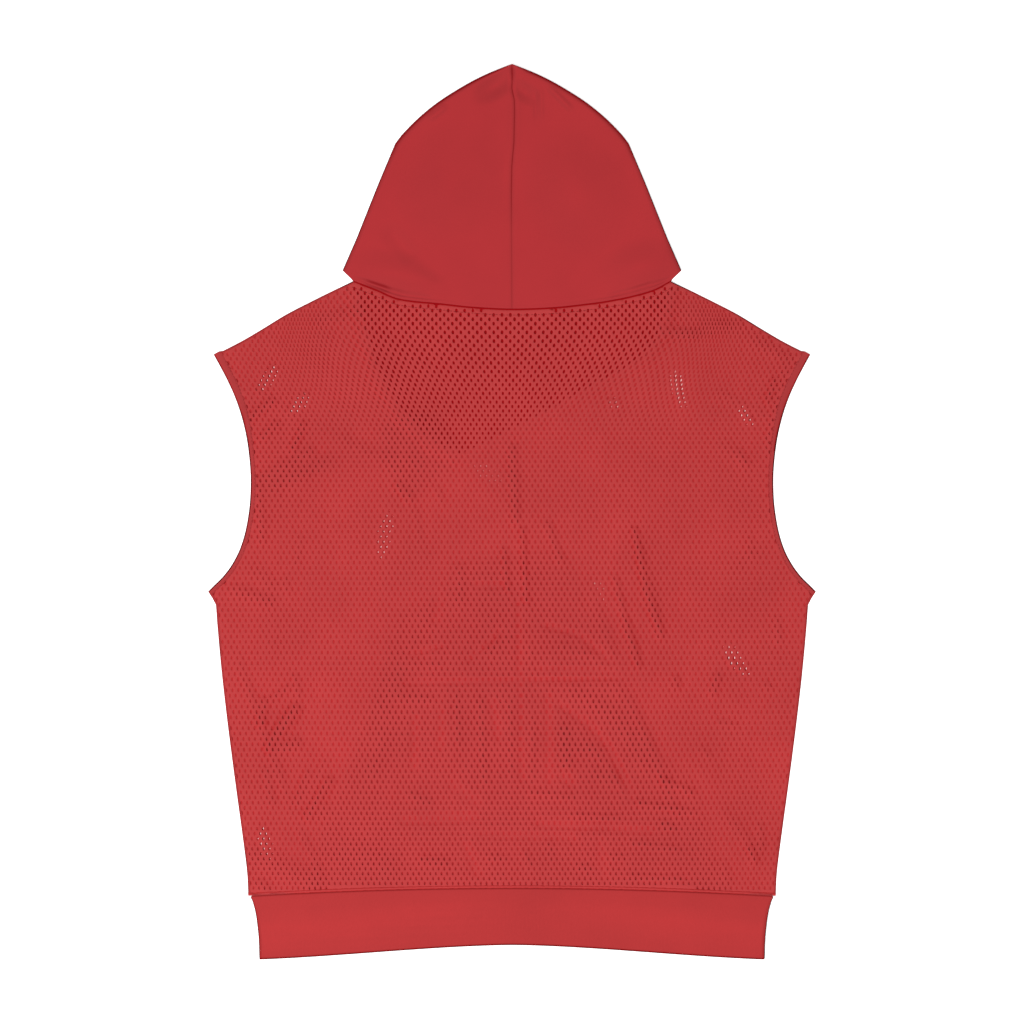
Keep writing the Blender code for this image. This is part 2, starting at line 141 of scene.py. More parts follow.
# Over the pocket the holes open up where the back lies loose: how much of its slack, and the most
POCKET_OPEN, POCKET_OPEN_MOST, POCKET_OPEN_REACH = 0.55, 0.6, 0.012
SHIFT_WAVES = 0.0003  # how far the front's columns wander beside the back's

# Where a hole of the back lies over one of the front and a little floor shows.
# In mm: x, y: middle; long, wide: half sizes; turn: degrees from +X; share of half a pitch
OPEN_SPOTS = (
    (-246, 133, 17, 7, 55, 0.56), (-214, 108, 15, 7, 50, 0.56), (165.5, 123, 22, 8, 105, 0.56),
    (101, 109, 8, 6, 120, 0.46), (-27, 39, 20, 9, 145, 0.46), (-129, -23, 28, 9, 80, 0.5),
    (86, -80, 16, 6, 110, 0.45), (223, -148, 24, 8, 125, 0.5), (233, 96, 14, 6, 125, 0.5),
    (-248, -331, 20, 8, 100, 0.56),
)

# --- How the back panel lies ---

FRONT_TOP = 0.0006  # top of the front panel where it lies on the floor
FRONT_NECK_LIFT = 0.0011  # the front's neckline is sewn to the hood above the floor
CLOSE_GAP = 0.00065  # between the two panels where they touch
NECK_LOW, NECK_HIGH = 0.0022, 0.0029  # top of the back over the hood's turned-under sides
NECK_RISE = (0.060, 0.180)  # it rises from this height on, over this far
NECK_FOLDS, NECK_WAVES = 0.6, 0.00010  # share of the folds there, and height of the waves
HOOD_FADE = 0.016  # how far round them the hood's sides lift the body
WAVES, FINE_WAVES = 0.00018, 0.00003  # heights of the unevenness of the rest
SEWN_UNEVEN = 0.25  # how unevenly sewn edges lie, as a share of their rise

# Ridges of the back panel, in mm. x0, y0, x1, y1: ends; height; half: half-width
FOLDS = np.array((
    (-256, 20, -170, 56, 0.9, 14), (-281.5, -128.5, -216.5, -308.5, 0.7, 9),
    (-216.5, -308.5, -189.5, -368.5, 0.6, 8), (-216.5, -190.5, -249.5, -235.5, 0.7, 8),
    (-179.5, -240.5, -219.5, -300.5, 0.6, 8), (-76.5, -88.5, -141.5, -218.5, 0.4, 12),
    (73.5, -63.5, 108.5, -163.5, 0.6, 10), (108.5, -163.5, 173.5, -323.5, 0.6, 10),
    (123.5, -18.5, 153.5, -133.5, 0.6, 10), (55.5, -208.5, 138.5, -305.5, 0.4, 8),
    (208.5, -298.5, 253.5, -348.5, 0.6, 11), (148.5, 174.5, 228.5, 186.5, 0.8, 12),
    (245, 40, 205, 70, 0.4, 12), (256, -30, 215, -65, 0.4, 12), (-265, -50, -230, -85, 0.4, 12),
)) / 1000
FOLD_TAPER, FOLD_END = 0.3, 0.15  # share of a fold over which each end dies out; how far it starts

# Where the back lies a little loose, so that its holes look darker.
# Share of SLACK; reach: how far it fades; then the area's corners, x and y, all in mm
SLACK = 0.0014  # how far the back lies off the front where it is loosest
FLATTEST = -0.1  # least share of it, where the back is pressed flat
LOOSE = (
    (0.16, 30, (
        (-150, 125), (-170, 80), (-150, 55), (-105, 45), (-85, 70),
        (-120, 120),
    )),
    (0.38, 14, (
        (-124, 80), (-110, 95), (-80, 88), (-56, 60), (-72, 42),
        (-98, 24), (-118, 42),
    )),
    (0.14, 12, (
        (-260, 112), (-215, 116), (-198, 82), (-212, 40), (-250, -30),
        (-260, 40),
    )),
    (0.38, 14, (
        (-55, -58), (-65, -90), (-107, -108), (-129, -173), (-150, -238),
        (-179, -308), (-205, -383.5), (210, -383.5), (188, -318), (178, -278),
        (143, -248), (118, -203), (98, -168), (78, -108), (48, -48),
    )),
)

# Small puckers (a positive share of SLACK) and places pressed flat (a negative one), in mm.
# x0, y0, x1, y1: ends; half: half-width; share
PUCKERS = (
    # shoulders and neck
    (-192, 192, -150, 202, 9, 0.5), (150, 204, 232, 184, 12, 0.3), (150, 180, 180, 176, 9, 0.35),
    (-138, 200, -112, 174, 5, -0.7), (-112, 174, -87, 167, 4, -0.7), (-80, 152, -62, 136, 5, -0.4),
    (108, 177, 138, 200, 5, -0.5), (-12, 154, -8, 153, 5, -0.8),
    # left armhole
    (-254, 122, -240, 142, 5, 0.6), (-262, 94, -240, 110, 6, 0.75), (-250, 74, -237, 87, 6, 0.75),
    (-222, 100, -207, 117, 5, 0.5), (-219, 62, -209, 87, 5, 0.8), (-250, 34, -202, 60, 7, 0.6),
    (-250, -28, -254, 32, 6, 0.6), (-277, -78, -242, -90, 8, 0.6), (-227, -68, -225, -78, 5, 0.4),
    (-212, -28, -215, -50, 5, 0.4),
    # right armhole
    (242, 172, 278, 152, 8, 0.4), (274, 148, 258, 62, 7, 0.45), (207, 117, 252, 96, 7, 0.3),
    # left of the neckline's point
    (-130, 55, -95, 48, 9, 0.3), (-114, 25, -103, 14, 7, 0.8), (-127, -8, -132, -33, 6, 0.3),
    (-97, 2, -92, -28, 5, 0.3), (-74, 22, -70, 10, 5, 0.4), (-167, 72, -112, 42, 7, 0.3),
    # down the middle
    (0, 62, 3, -8, 7, 0.8), (10, -18, 14, -88, 4, 0.8), (-8, -38, -5, -78, 4, 0.7),
    (-52, -58, -52, -88, 6, 0.4), (36, -14, 48, -48, 6, 0.6), (122, -18, 133, -78, 5, 0.75),
    (133, -78, 148, -123, 6, 0.8), (103, -68, 113, -108, 5, 0.7), (113, -108, 126, -153, 6, 0.9),
    (6, -88, 10, -268, 3, -0.6),
    # above the pocket
    (-102, -143, -72, -134, 3, -0.6), (-44, -148, -12, -119, 3, -0.6),
    (33, -113, 68, -123, 4, -0.6), (68, -123, 100, -150, 5, -0.5), (-107, -171, 108, -166, 3, -0.6),
    (28, -157, 100, -160, 5, -0.4), (-72, -88, -76, -108, 6, -0.6), (-35, -73, -10, -73, 5, -0.5),
    (-22, -140, -5, -128, 6, 0.3), (18, -135, 20, -148, 4, 0.3), (50, -135, 82, -145, 6, 0.3),
    (-97, -153, -75, -153, 5, 0.3),
    # over the pocket
    (-112, -186, -82, -187, 5, 0.4), (-124, -205, -140, -262, 10, 0.25),
    (-55, -185, -54, -230, 4, 0.4), (-32, -190, -27, -270, 6, 0.4), (-2, -190, -1, -262, 4, 0.3),
    (21, -205, 21, -268, 4, 0.3), (52, -218, 54, -252, 9, 0.6), (60, -235, 85, -240, 9, 0.4),
    (63, -180, 108, -208, 10, 0.3), (108, -208, 135, -255, 9, 0.3), (85, -262, 100, -270, 8, 0.3),
    (-97, -207, -98, -255, 5, -0.6), (-71, -200, -72, -235, 5, -0.5),
    (-20, -190, -14, -225, 5, -0.5), (36, -185, 37, -268, 5, -0.6), (48, -193, 78, -213, 4, -0.8),
    (78, -213, 100, -238, 4, -0.8), (100, -238, 120, -285, 5, -0.8), (52, -265, 58, -270, 6, -0.8),
    # above the hem
    (-102, -283, -85, -290, 6, 0.4), (-107, -308, -40, -305, 7, -0.6),
    (-60, -272, -36, -290, 7, -0.4), (20, -280, 60, -286, 5, 0.4), (60, -303, 105, -306, 4, 0.4),
    (28, -312, 138, -318, 5, -0.6), (150, -268, 178, -280, 5, 0.6), (128, -292, 180, -300, 5, 0.5),
    (150, -312, 160, -316, 6, 0.6), (-175, -340, -125, -350, 18, 0.2),
    (-90, -348, -68, -350, 6, 0.5), (-22, -345, -8, -347, 6, 0.4), (13, -342, 17, -352, 5, 0.4),
    (36, -330, 40, -345, 6, 0.3), (68, -355, 76, -357, 6, 0.4), (100, -345, 108, -345, 5, 0.4),
    (120, -331, 165, -338, 5, 0.4), (118, -364, 168, -368, 4, 0.4), (-45, -335, -35, -360, 6, -0.5),
    (-30, -322, 60, -326, 6, -0.4), (88, -330, 92, -365, 6, -0.4),
    # lower left
    (-248, -190, -250, -212, 6, 0.8), (-242, -188, -224, -176, 4, 0.6),
    (-242, -235, -216, -198, 8, 1), (-232, -236, -217, -232, 9, 0.8),
    (-217, -165, -214, -185, 5, 0.5), (-217, -290, -205, -262, 5, 0.6),
    (-204, -303, -184, -270, 8, 1), (-192, -302, -188, -298, 8, 0.6),
    (-246, -260, -240, -290, 6, 0.5), (-254, -345, -200, -368, 15, 0.7),
    (-250, -320, -246, -342, 6, 0.8), (-252, -372, -246, -378, 7, 0.6),
    # right side
    (238, -338, 242, -348, 6, 0.8), (248, -315, 250, -335, 5, 0.5), (212, -352, 216, -368, 6, 0.4),
    (164, -168, 164, -174, 6, 0.7), (205, -165, 201, -180, 6, 0.8), (216, -148, 232, -160, 4, 0.7),
    (254, -174, 258, -176, 5, 0.5), (264, -108, 267, -128, 6, 0.5), (208, -212, 222, -214, 5, 0.4),
    (190, -238, 197, -244, 5, 0.4), (238, -28, 238, -42, 5, 0.4), (231, 100, 238, 92, 4, 0.7),
    (208, 118, 222, 112, 7, 0.4), (164, 132, 167, 112, 5, 0.7), (98, 110, 102, 110, 5, 0.5),
    (262, 130, 256, 112, 5, 0.9), (262, 100, 255, 70, 4, 0.7), (226, 60, 232, 50, 5, 0.4),
)
PUCKER_FADE = 1.35  # half-widths over which one fades out
PUCKER_RIDGES = [
    (x0 / 1000, y0 / 1000, x1 / 1000, y1 / 1000, share, PUCKER_FADE * half / 1000)
    for x0, y0, x1, y1, half, share in PUCKERS
]
HEM_LIFT, HEM_LIFT_REACH = 0.0001, 0.036  # how much higher it lies at the hem seam, fading upward

# --- Edges ---

HEM_WIDTH = 0.0086  # turned hem of an armhole near the shoulder
HEM_NARROW = 0.64  # share of that width from the middle of the armhole down
HEM_NARROW_Y, HEM_WIDEN_REACH = 0.050, 0.070  # from this height up it widens, over this far
SEAM_WIDTH = 0.0030  # rolled seam down the sides and along the shoulders
HEM_SEAM_WIDTH = 0.0026  # seam that joins the body to the band
NECK_CHANNEL = 0.0008  # how far the mesh stops short of the hood at its seam
CHANNEL_END_X, CHANNEL_FADE = 0.146, 0.012  # it closes from here outward, over this far
ALLOWANCE = 0.0085  # hood's seam allowance, turned down under the mesh
EDGE_DROP, EDGE_REACH = 0.0006, 0.004  # how far the mesh curls down at its edges, and from where
STITCH, STITCH_GAP, THREAD = 0.0026, 0.0009, 0.00042  # length, gap and thickness
STITCH_RINGS = ((-1, 0.3, -0.9), (-0.6, 1, 0.1), (0.6, 1, 0.1), (1, 0.3, -0.9))  # along, fat, lift
STITCH_SECTION = ((-1, 0), (-0.5, 0.8), (0.5, 0.8), (1, 0), (0, -0.8))  # across, up
ARM_STITCH_INSET, NECK_STITCH_INSET = 0.0013, 0.0062  # from the hem's edge; from the neck seam

# --- Hood ---

HOOD_WALL = 0.0015
HOOD_FLOOR, HOOD_TOP = 0.0001, 0.0041
HOOD_EDGE_TOP = 0.0034  # least height of the upper layer beside its fold
HOOD_HEM = 0.0011  # half the thickness of the hem round the face opening
HOOD_WAVES = 0.00012
FOLD_WIDTH = 0.7  # half-width of the side fold, as a share of its half-height
ROLL_HEIGHT = (0.0004, 0.0010)  # how far the upper layer bends down to the fold, and to the hem
ROLL_REACH = (0.0036, 0.0062)  # over what distances
LEVEL_REACH = 0.006  # distance from the fold over which the upper layer levels out
CORNER_UP_SEAM = 0.52  # how far up the centre seam the row to the corner starts

# Its grid: rows beside the side fold and beside the face opening, and those close by the neck
HOOD_ROWS_LOW, HOOD_ROWS_HIGH = 72, 60
HOOD_NECK_ROWS, HOOD_NECK_SHARE = 22, 0.075
BLEND_ROWS = 10  # rows over which the side fold turns into the hem
SHORT_ROW = 0.02  # rows shorter than this have smaller steps and folds
END_RUN = 0.005  # stretch at a row's end that shows which way its fold points
HOOD_SEAM_STEPS = (0.0, 0.0003, 0.0006, 0.0010, 0.0016, 0.0026)  # distances from the centre seam
ROLL_STEPS = (0.0075, 0.0055, 0.0040, 0.0028, 0.0018, 0.0010, 0.0004)  # distances from the fold
HOOD_MIDDLE_COLUMNS = UNDER_COLUMNS = 52
FOLD_TURNS = (90, 75, 62, 50, 40, 30, 20, 10, 0)  # degrees, from the fold's top to its middle
LAST_UNDER_TURNS = (-25, -50, -90)
PEAK_GAP = 0.0001  # between the last row's ends at the peak
LEAST_INSIDE, HEM_INSIDE = 0.0002, 0.0001  # least half-thickness inside the fold, and in the hem
HEM_SKIN, HEM_INNER = 0.00005, 0.9  # gap between the hem's two skins, and size of the inner one
BOW_POINTS = 90

# Centre seam: depth and half-width of its groove, and height, place and half-width of its sides
SEAM_DEPTH, SEAM_HALF = 0.00034, 0.0008
BULGE_HEIGHT, BULGE_AT, BULGE_HALF = 0.00008, 0.004, 0.002
SEAM_LOW_SHARE, SEAM_FULL = 0.60, (0.27, 0.06)  # shallower by the neck, up to here and this far
SEAM_THICK = (0.430, 0.010)  # and thickest from here on, by the peak

# Where the centre seam wanders off the middle. y, x
SEAM_LINE = (
    (0.2, 0), (0.32, -0.0006), (0.345, -0.0002), (0.37, 0.002), (0.4, 0.0026), (0.412, 0.0024),
    (0.424, 0), (0.448, 0),
)

# Soft swells of the hood's upper layer, in mm.
# x, y: middle; long, wide: half sizes; turn: degrees from +X; height
SWELLS = (
    (-115, 238, 58, 26, -10, 1.2), (129, 245, 50, 30, 14, 1.2), (-60, 330, 70, 55, 60, 1.6),
    (65, 320, 70, 55, 115, 1.6), (-17, 426, 28, 15, 35, -1.2), (12, 420, 22, 12, -35, -0.8),
)

# Creases of the hood, in mm. x0, y0, x1, y1: ends; height; half: half-width
HOOD_CREASES = np.array((
    (-159, 233.4, -127, 224.2, -0.4, 4.4), (-150, 230.6, -118, 220, -1, 4.6),
    (-134, 225, -101, 215.6, -0.4, 4.6), (-115, 219, -78, 213.2, -0.2, 4),
    (160, 233, 126, 223.6, -0.3, 3.4), (144, 229.4, 116, 220.6, -0.35, 3.6),
    (126, 223.6, 96, 216, -0.2, 3.4), (-126.5, 286.5, -94.5, 248.5, -0.4, 14),
    (-98, 251.5, -64.5, 231.5, -0.3, 12), (35.5, 426, 60.5, 401, 0.4, 5),
    (-84.5, 391.5, -64.5, 406.5, 0.4, 5), (23.5, 426, 23.5, 391, -0.2, 3),
    (29, 426, 30, 391, 0.2, 3), (28.5, 334.5, 45.5, 332.5, -0.2, 3),
)) / 1000
# Low lip above the neck seam: height, distance and half-width; share of it in the middle, and
# how far out it starts to grow
LIP_HEIGHT, LIP_AT, LIP_HALF = 0.0001, 0.0022, 0.0020
LIP_MIDDLE, LIP_SIDE_X = 0.35, 0.05

# --- Band ---

BAND_WALL, BAND_FLOOR, BAND_TOP = 0.0018, 0.0001, 0.0041
BAND_ROUND = 0.6  # half-width of its side folds, as a share of their half-height
BAND_DROOP = 0.0005  # how far its upper layer bends down at its lower edge and sides
BAND_ROLL_REACH = 0.0036  # from how far off it does so at the sides
BAND_TAPER, BAND_TAPER_FROM = 0.5, 0.7  # how much flatter it is pressed where it is sewn on
BAND_WAVES = 0.00012
RIB_PITCH, RIB_HEIGHT = 0.00135, 0.00006
# Distances up from the lower edge, and the share of the wall's half thickness that is there
BAND_EDGE_STEPS = ((0.0, 0.0), (0.0005, 0.5), (0.0010, 0.82), (0.0018, 1.0), (0.0030, 1.0))
BAND_MIDDLE_LEVELS, BAND_MIDDLE = 7, (0.08, 0.92)
BAND_UPPER = 0.0002  # what lies this far above its middle bends down at the lower edge
BAND_TURNS = range(75, -90, -15)  # degrees round a side fold, from its top down

# --- Looks ---

PAINTED_SHADE_KEEPS = 0.1  # painted shade: share of its colour that cloth keeps where it slopes down most steeply
GLOSS_TURNS = (0.92, 0.995)  # how level cloth lies where its gloss starts, and where it is full
CAMERA_HEIGHT, VIEW_WIDTH, SENSOR = 4.0, 1.024, 36.0
CLOTH_LEVEL = 0.002  # from which the camera's height is measured
KEY_PLACE = (-1.5, -2.1, 4.0)
SHARP_FROM = 46  # degrees between faces from which an edge stays sharp


# --- Helpers ---


def smooth(t):
    """From 0 to 1, easing in and out."""
    t = np.clip(t, 0.0, 1.0)
    return t * t * (3 - 2 * t)


def mix(a, b, share):
    return a + (b - a) * share


def direction(turn):
    """Cosine and sine of an angle in degrees."""
    return math.cos(math.radians(turn)), math.sin(math.radians(turn))


def spline(points, steps):
    """A Catmull-Rom curve through points, with a number of steps between each two."""
    p = np.array(points, float)
    p = np.vstack([2 * p[0] - p[1], p, 2 * p[-1] - p[-2]])
    t = np.linspace(0, 1, steps, endpoint=False)[:, None]
    line = [
        0.5 * (2 * b + (c - a) * t + (2 * a - 5 * b + 4 * c - d) * t**2
               + (3 * b - a - 3 * c + d) * t**3)
        for a, b, c, d in zip(p[:-3], p[1:-2], p[2:-1], p[3:])
    ]
    return np.vstack([*line, p[-2:-1]])


def distances_along(line):
    return np.concatenate([[0], np.cumsum(np.hypot(*np.diff(line, axis=0).T))])


def length_of(line):
    return float(distances_along(line)[-1])


def at_distance(line, distances):
    """Points at distances along a polyline."""
    at = distances_along(line)
    return np.column_stack([np.interp(distances, at, line[:, k]) for k in (0, 1)])


def evenly(line, count):
    """Points at even distances along a polyline."""
    line = np.array(line, float)
    return at_distance(line, np.linspace(0, length_of(line), count))


def at_share(line, share):
    """Points at shares of the way along a line whose points are evenly spaced."""
    last = len(line) - 1
    return np.column_stack([np.interp(share * last, range(last + 1), line[:, k]) for k in (0, 1)])


def leftward(run):
    """Unit vectors that point left of the way a line runs."""
    run = run / np.hypot(*run.T)[:, None]
    return np.column_stack([-run[:, 1], run[:, 0]])


def mirrored(line):
    return np.array(line)[::-1] * (-1, 1)


def along_segment(x, y, a, b):
    """Distance of points from a segment, and how far along it the nearest place is."""
    run = np.array(b, float) - np.array(a, float)
    t = ((x - a[0]) * run[0] + (y - a[1]) * run[1]) / (run @ run)
    t = np.clip(t, 0, 1)
    return np.hypot(x - a[0] - t * run[0], y - a[1] - t * run[1]), t


def from_line(x, y, line, closed=True):
    """Distance of points from a polyline."""
    ends = np.roll(line, -1, axis=0) if closed else line[1:]
    away = np.full(np.shape(x), 9.0)
    for a, b in zip(line, ends):
        away = np.minimum(away, along_segment(x, y, a, b)[0])
    return away


def nearest_on(x, y, line):
    """The nearest points on a closed polyline."""
    best, bx, by = np.full(len(x), 9.0), np.zeros(len(x)), np.zeros(len(x))
    for a, b in zip(line, np.roll(line, -1, axis=0)):
        away, t = along_segment(x, y, a, b)
        nearer = away < best
        best = np.where(nearer, away, best)
        bx = np.where(nearer, mix(a[0], b[0], t), bx)
        by = np.where(nearer, mix(a[1], b[1], t), by)
    return bx, by


def inside(x, y, outline):
    """Which points lie within a closed outline."""
    found = np.zeros(np.shape(x), bool)
    for (ax, ay), (bx, by) in zip(outline, np.roll(outline, -1, axis=0)):
        if ay == by:
            continue
        found ^= ((ay > y) != (by > y)) & (x < ax + (y - ay) / (by - ay) * (bx - ax))
    return found


def outside_by(x, y, outline):
    """How far outside an outline points lie; 0 within it."""
    return np.where(inside(x, y, outline), 0.0, from_line(x, y, outline))


def share_of(x, y, outline, reach):
    """1 inside an outline, falling to 0 a reach outside it."""
    return 1 - smooth(outside_by(x, y, outline) / reach)


def out_in_oval(x, y, middle_x, middle_y, long, wide, turn):
    """How far out points lie in a turned ellipse in mm: 0 at its middle, 1 on its rim."""
    c, s = direction(turn)
    x, y = 1000 * x - middle_x, 1000 * y - middle_y
    along = (x * c + y * s) / long
    across = (y * c - x * s) / wide
    return np.hypot(along, across)


def ridges(x, y, table, tapered=True):
    """The highest of a table's ridges, less the deepest of its troughs."""
    high, low = np.zeros(np.shape(x)), np.zeros(np.shape(x))
    for x0, y0, x1, y1, height, half in table:
        away, t = along_segment(x, y, (x0, y0), (x1, y1))
        shape = height * (1 - smooth(away / half))
        if tapered:
            shape = shape * smooth(np.minimum(t, 1 - t) / FOLD_TAPER + FOLD_END)
        high, low = np.maximum(high, shape), np.minimum(low, shape)
    return high + low


def soft_waves(x, y):
    """A faint unevenness of cloth that has been smoothed out by hand, from about -1 to 1."""
    waves = np.sin(41 * x + 17 * y + 0.6) * np.sin(23 * y - 13 * x + 1.1)
    waves = waves + 0.6 * np.sin(88 * x - 35 * y + 2.0) * np.sin(61 * y + 27 * x)
    return waves / 1.6


def fine_waves(x, y):
    """The same on the scale of a few stitches."""
    return np.sin(610 * x + 190 * y) * np.sin(470 * y - 230 * x + 0.8)


# --- Outlines ---

NECK_CURVE = spline(BACK_NECK, 8)


def back_neck_y(x):
    return np.interp(x, *NECK_CURVE.T)


def hem_seam_y(x):
    return HEM_SEAM_Y + HEM_SEAM_RISE * (1 - (x / SIDE[0][1]) ** 2)


def hem_bottom_y(x):
    out = np.abs(x) / HEM_BOTTOM_HALF
    return HEM_BOTTOM_MID - HEM_BOTTOM_DROP * (out**HEM_BOTTOM_POWER + smooth(out)) / 2


def panel_outline(neck):
    """A body panel's outline, anticlockwise; neck runs left to right."""
    right = np.vstack([SIDE_RIGHT[:-1], ARM_RIGHT[:-1], SHOULDER_RIGHT[:-1]])
    return np.vstack([HEM_LINE[:-1], right, neck[::-1], mirrored(right)[:-1]])


def drawn_in(outline, distance):
    """A closed outline moved inward."""
    return outline + distance * leftward(np.roll(outline, -1, axis=0) - np.roll(outline, 1, axis=0))


NECK_XS = np.linspace(-NECK_CORNER[0], NECK_CORNER[0], 97)
BACK_NECK_LINE = np.column_stack([NECK_XS, back_neck_y(NECK_XS)])
SEWN_NECK_LINE = BACK_NECK_LINE - np.column_stack(
    [0 * NECK_XS, NECK_CHANNEL * (1 - smooth((np.abs(NECK_XS) - CHANNEL_END_X) / CHANNEL_FADE))])
FRONT_NECK_LINE = np.vstack([spline(FRONT_NECK[:6], 4)[:-1], spline(FRONT_NECK[5:], 4)])
HEM_XS = np.linspace(-SIDE[0][1], SIDE[0][1], 120)
HEM_LINE = np.column_stack([HEM_XS, hem_seam_y(HEM_XS)])

# The right side's edges, each running round the garment anticlockwise from the hem.
SIDE_RIGHT = np.vstack([
    spline([(half, y) for y, half in SIDE[:10]], 5)[:-1], [(half, y) for y, half in SIDE[9:]]
])
ARM_RIGHT = spline([(half, y) for y, half in ARMHOLE], 6)
SHOULDER_RIGHT = np.vstack([SHOULDER[:2], spline(SHOULDER[2:], 6)])
SIDE_LINES, ARM_LINES, SHOULDER_LINES = (
    {"right": line, "left": mirrored(line)} for line in (SIDE_RIGHT, ARM_RIGHT, SHOULDER_RIGHT)
)

BACK_OUTLINE = panel_outline(BACK_NECK_LINE)
FRONT_OUTLINE = panel_outline(FRONT_NECK_LINE)
BODY_CORNERS = [
    (sign * x, y) for sign in (-1, 1)
    for x, y in (SIDE_RIGHT[0], ARM_RIGHT[0], SHOULDER_RIGHT[0], NECK_CORNER)
]
HOOD_UNDER = np.array([
    (-HOOD_TIP[0], HOOD_TIP[1]), *FRONT_NECK, HOOD_TIP,
    HOOD_CORNER, (-HOOD_CORNER[0], HOOD_CORNER[1]),
])
POCKET_OUTLINE = np.array(
    [(right, y) for y, _, right in POCKET] + [(left, y) for y, left, _ in POCKET[::-1]]
)


# --- Heights ---


def slack(x, y):
    """How loose the back panel lies, as a share of SLACK."""
    share = ridges(x, y, PUCKER_RIDGES, tapered=False)
    for amount, reach, outline in LOOSE:
        share = share + amount * share_of(x, y, np.array(outline) / 1000, reach / 1000)
    return np.maximum(share, FLATTEST)


def front_top(x, y):
    """Top of the front panel, lifted by the pocket under it and sewn to the hood above it."""
    away = outside_by(x, y, POCKET_OUTLINE)
    lift = (MESH_WALL + GAP) * (1 - smooth((away - FLAT_REACH) / (FADE_REACH - FLAT_REACH)))
    return lift + FRONT_TOP + FRONT_NECK_LIFT * share_of(x, y, HOOD_UNDER, HOOD_FADE)


def back_top(x, y):
    """Top of the back panel."""
    loose = SLACK * slack(x, y)
    folds = ridges(x, y, FOLDS)
    height = front_top(x, y) + CLOSE_GAP + folds + loose
    height = height + HEM_LIFT * (1 - smooth((y - hem_seam_y(x)) / HEM_LIFT_REACH))
    height = height + WAVES * soft_waves(x, y) + FINE_WAVES * fine_waves(x, y)
    on_hood = mix(NECK_LOW, NECK_HIGH, smooth((y - NECK_RISE[0]) / NECK_RISE[1]))
    on_hood = on_hood + loose + NECK_FOLDS * folds + NECK_WAVES * soft_waves(x, y)
    return mix(height, on_hood, share_of(x, y, HOOD_UNDER, HOOD_FADE))


def back_mesh_top(x, y):
    """The same, curled down at the panel's edges."""
    away = from_line(x, y, BACK_OUTLINE)
    return back_top(x, y) - EDGE_DROP * (1 - smooth(away / EDGE_REACH))


def above_back(x, y, rise):
    """Height of sewn cloth that lies a little unevenly on the back panel."""
    return back_top(x, y) + rise * (1 + SEWN_UNEVEN * soft_waves(5 * x, 5 * y))


def seam_x(y):
    """Where the hood's centre seam lies."""
    ys, xs = np.array(SEAM_LINE).T
    return np.interp(y, ys, xs)


def hood_top(x, y):
    """Top of the hood's upper layer."""
    height = HOOD_TOP + ridges(x, y, HOOD_CREASES)
    for *oval, peak in SWELLS:
        height = height + peak / 1000 * (1 - smooth(out_in_oval(x, y, *oval)))
    above_neck = y - back_neck_y(np.clip(x, -NECK_CORNER[0], NECK_CORNER[0]))
    lip = 1 - smooth(np.abs(above_neck - LIP_AT) / LIP_HALF)
    height = height + LIP_HEIGHT * lip * (LIP_MIDDLE + smooth(np.abs(x) / LIP_SIDE_X - 1))
    beside = np.abs(x - seam_x(y))
    fade = mix(SEAM_LOW_SHARE, 1, smooth((y - SEAM_FULL[0]) / SEAM_FULL[1]))
    more = 1 + smooth((y - SEAM_THICK[0]) / SEAM_THICK[1])
    height = height - SEAM_DEPTH * fade * more * np.exp(-beside / SEAM_HALF / more)
    height = height + BULGE_HEIGHT * np.exp(-(((beside - BULGE_AT) / BULGE_HALF) ** 2))
    return height + HOOD_WAVES * soft_waves(1.3 * x, 1.3 * y)


# --- Materials ---


def add_node(tree, kind, links, **values):
    """A shader node with its settings, and with other nodes' sockets linked into it."""
    made = tree.nodes.new("ShaderNode" + kind)
    for name, value in values.items():
        if name in made.inputs:
            made.inputs[name].default_value = value
        else:
            setattr(made, name, value)
    for name, socket in links.items():
        tree.links.new(socket, made.inputs[name])
    return made


def map_range(tree, value, marks):
    made = add_node(tree, "MapRange", {"Value": value})
    for name, mark in zip(("From Min", "From Max", "To Min", "To Max"), marks):
        made.inputs[name].default_value = mark
    return made.outputs["Result"]


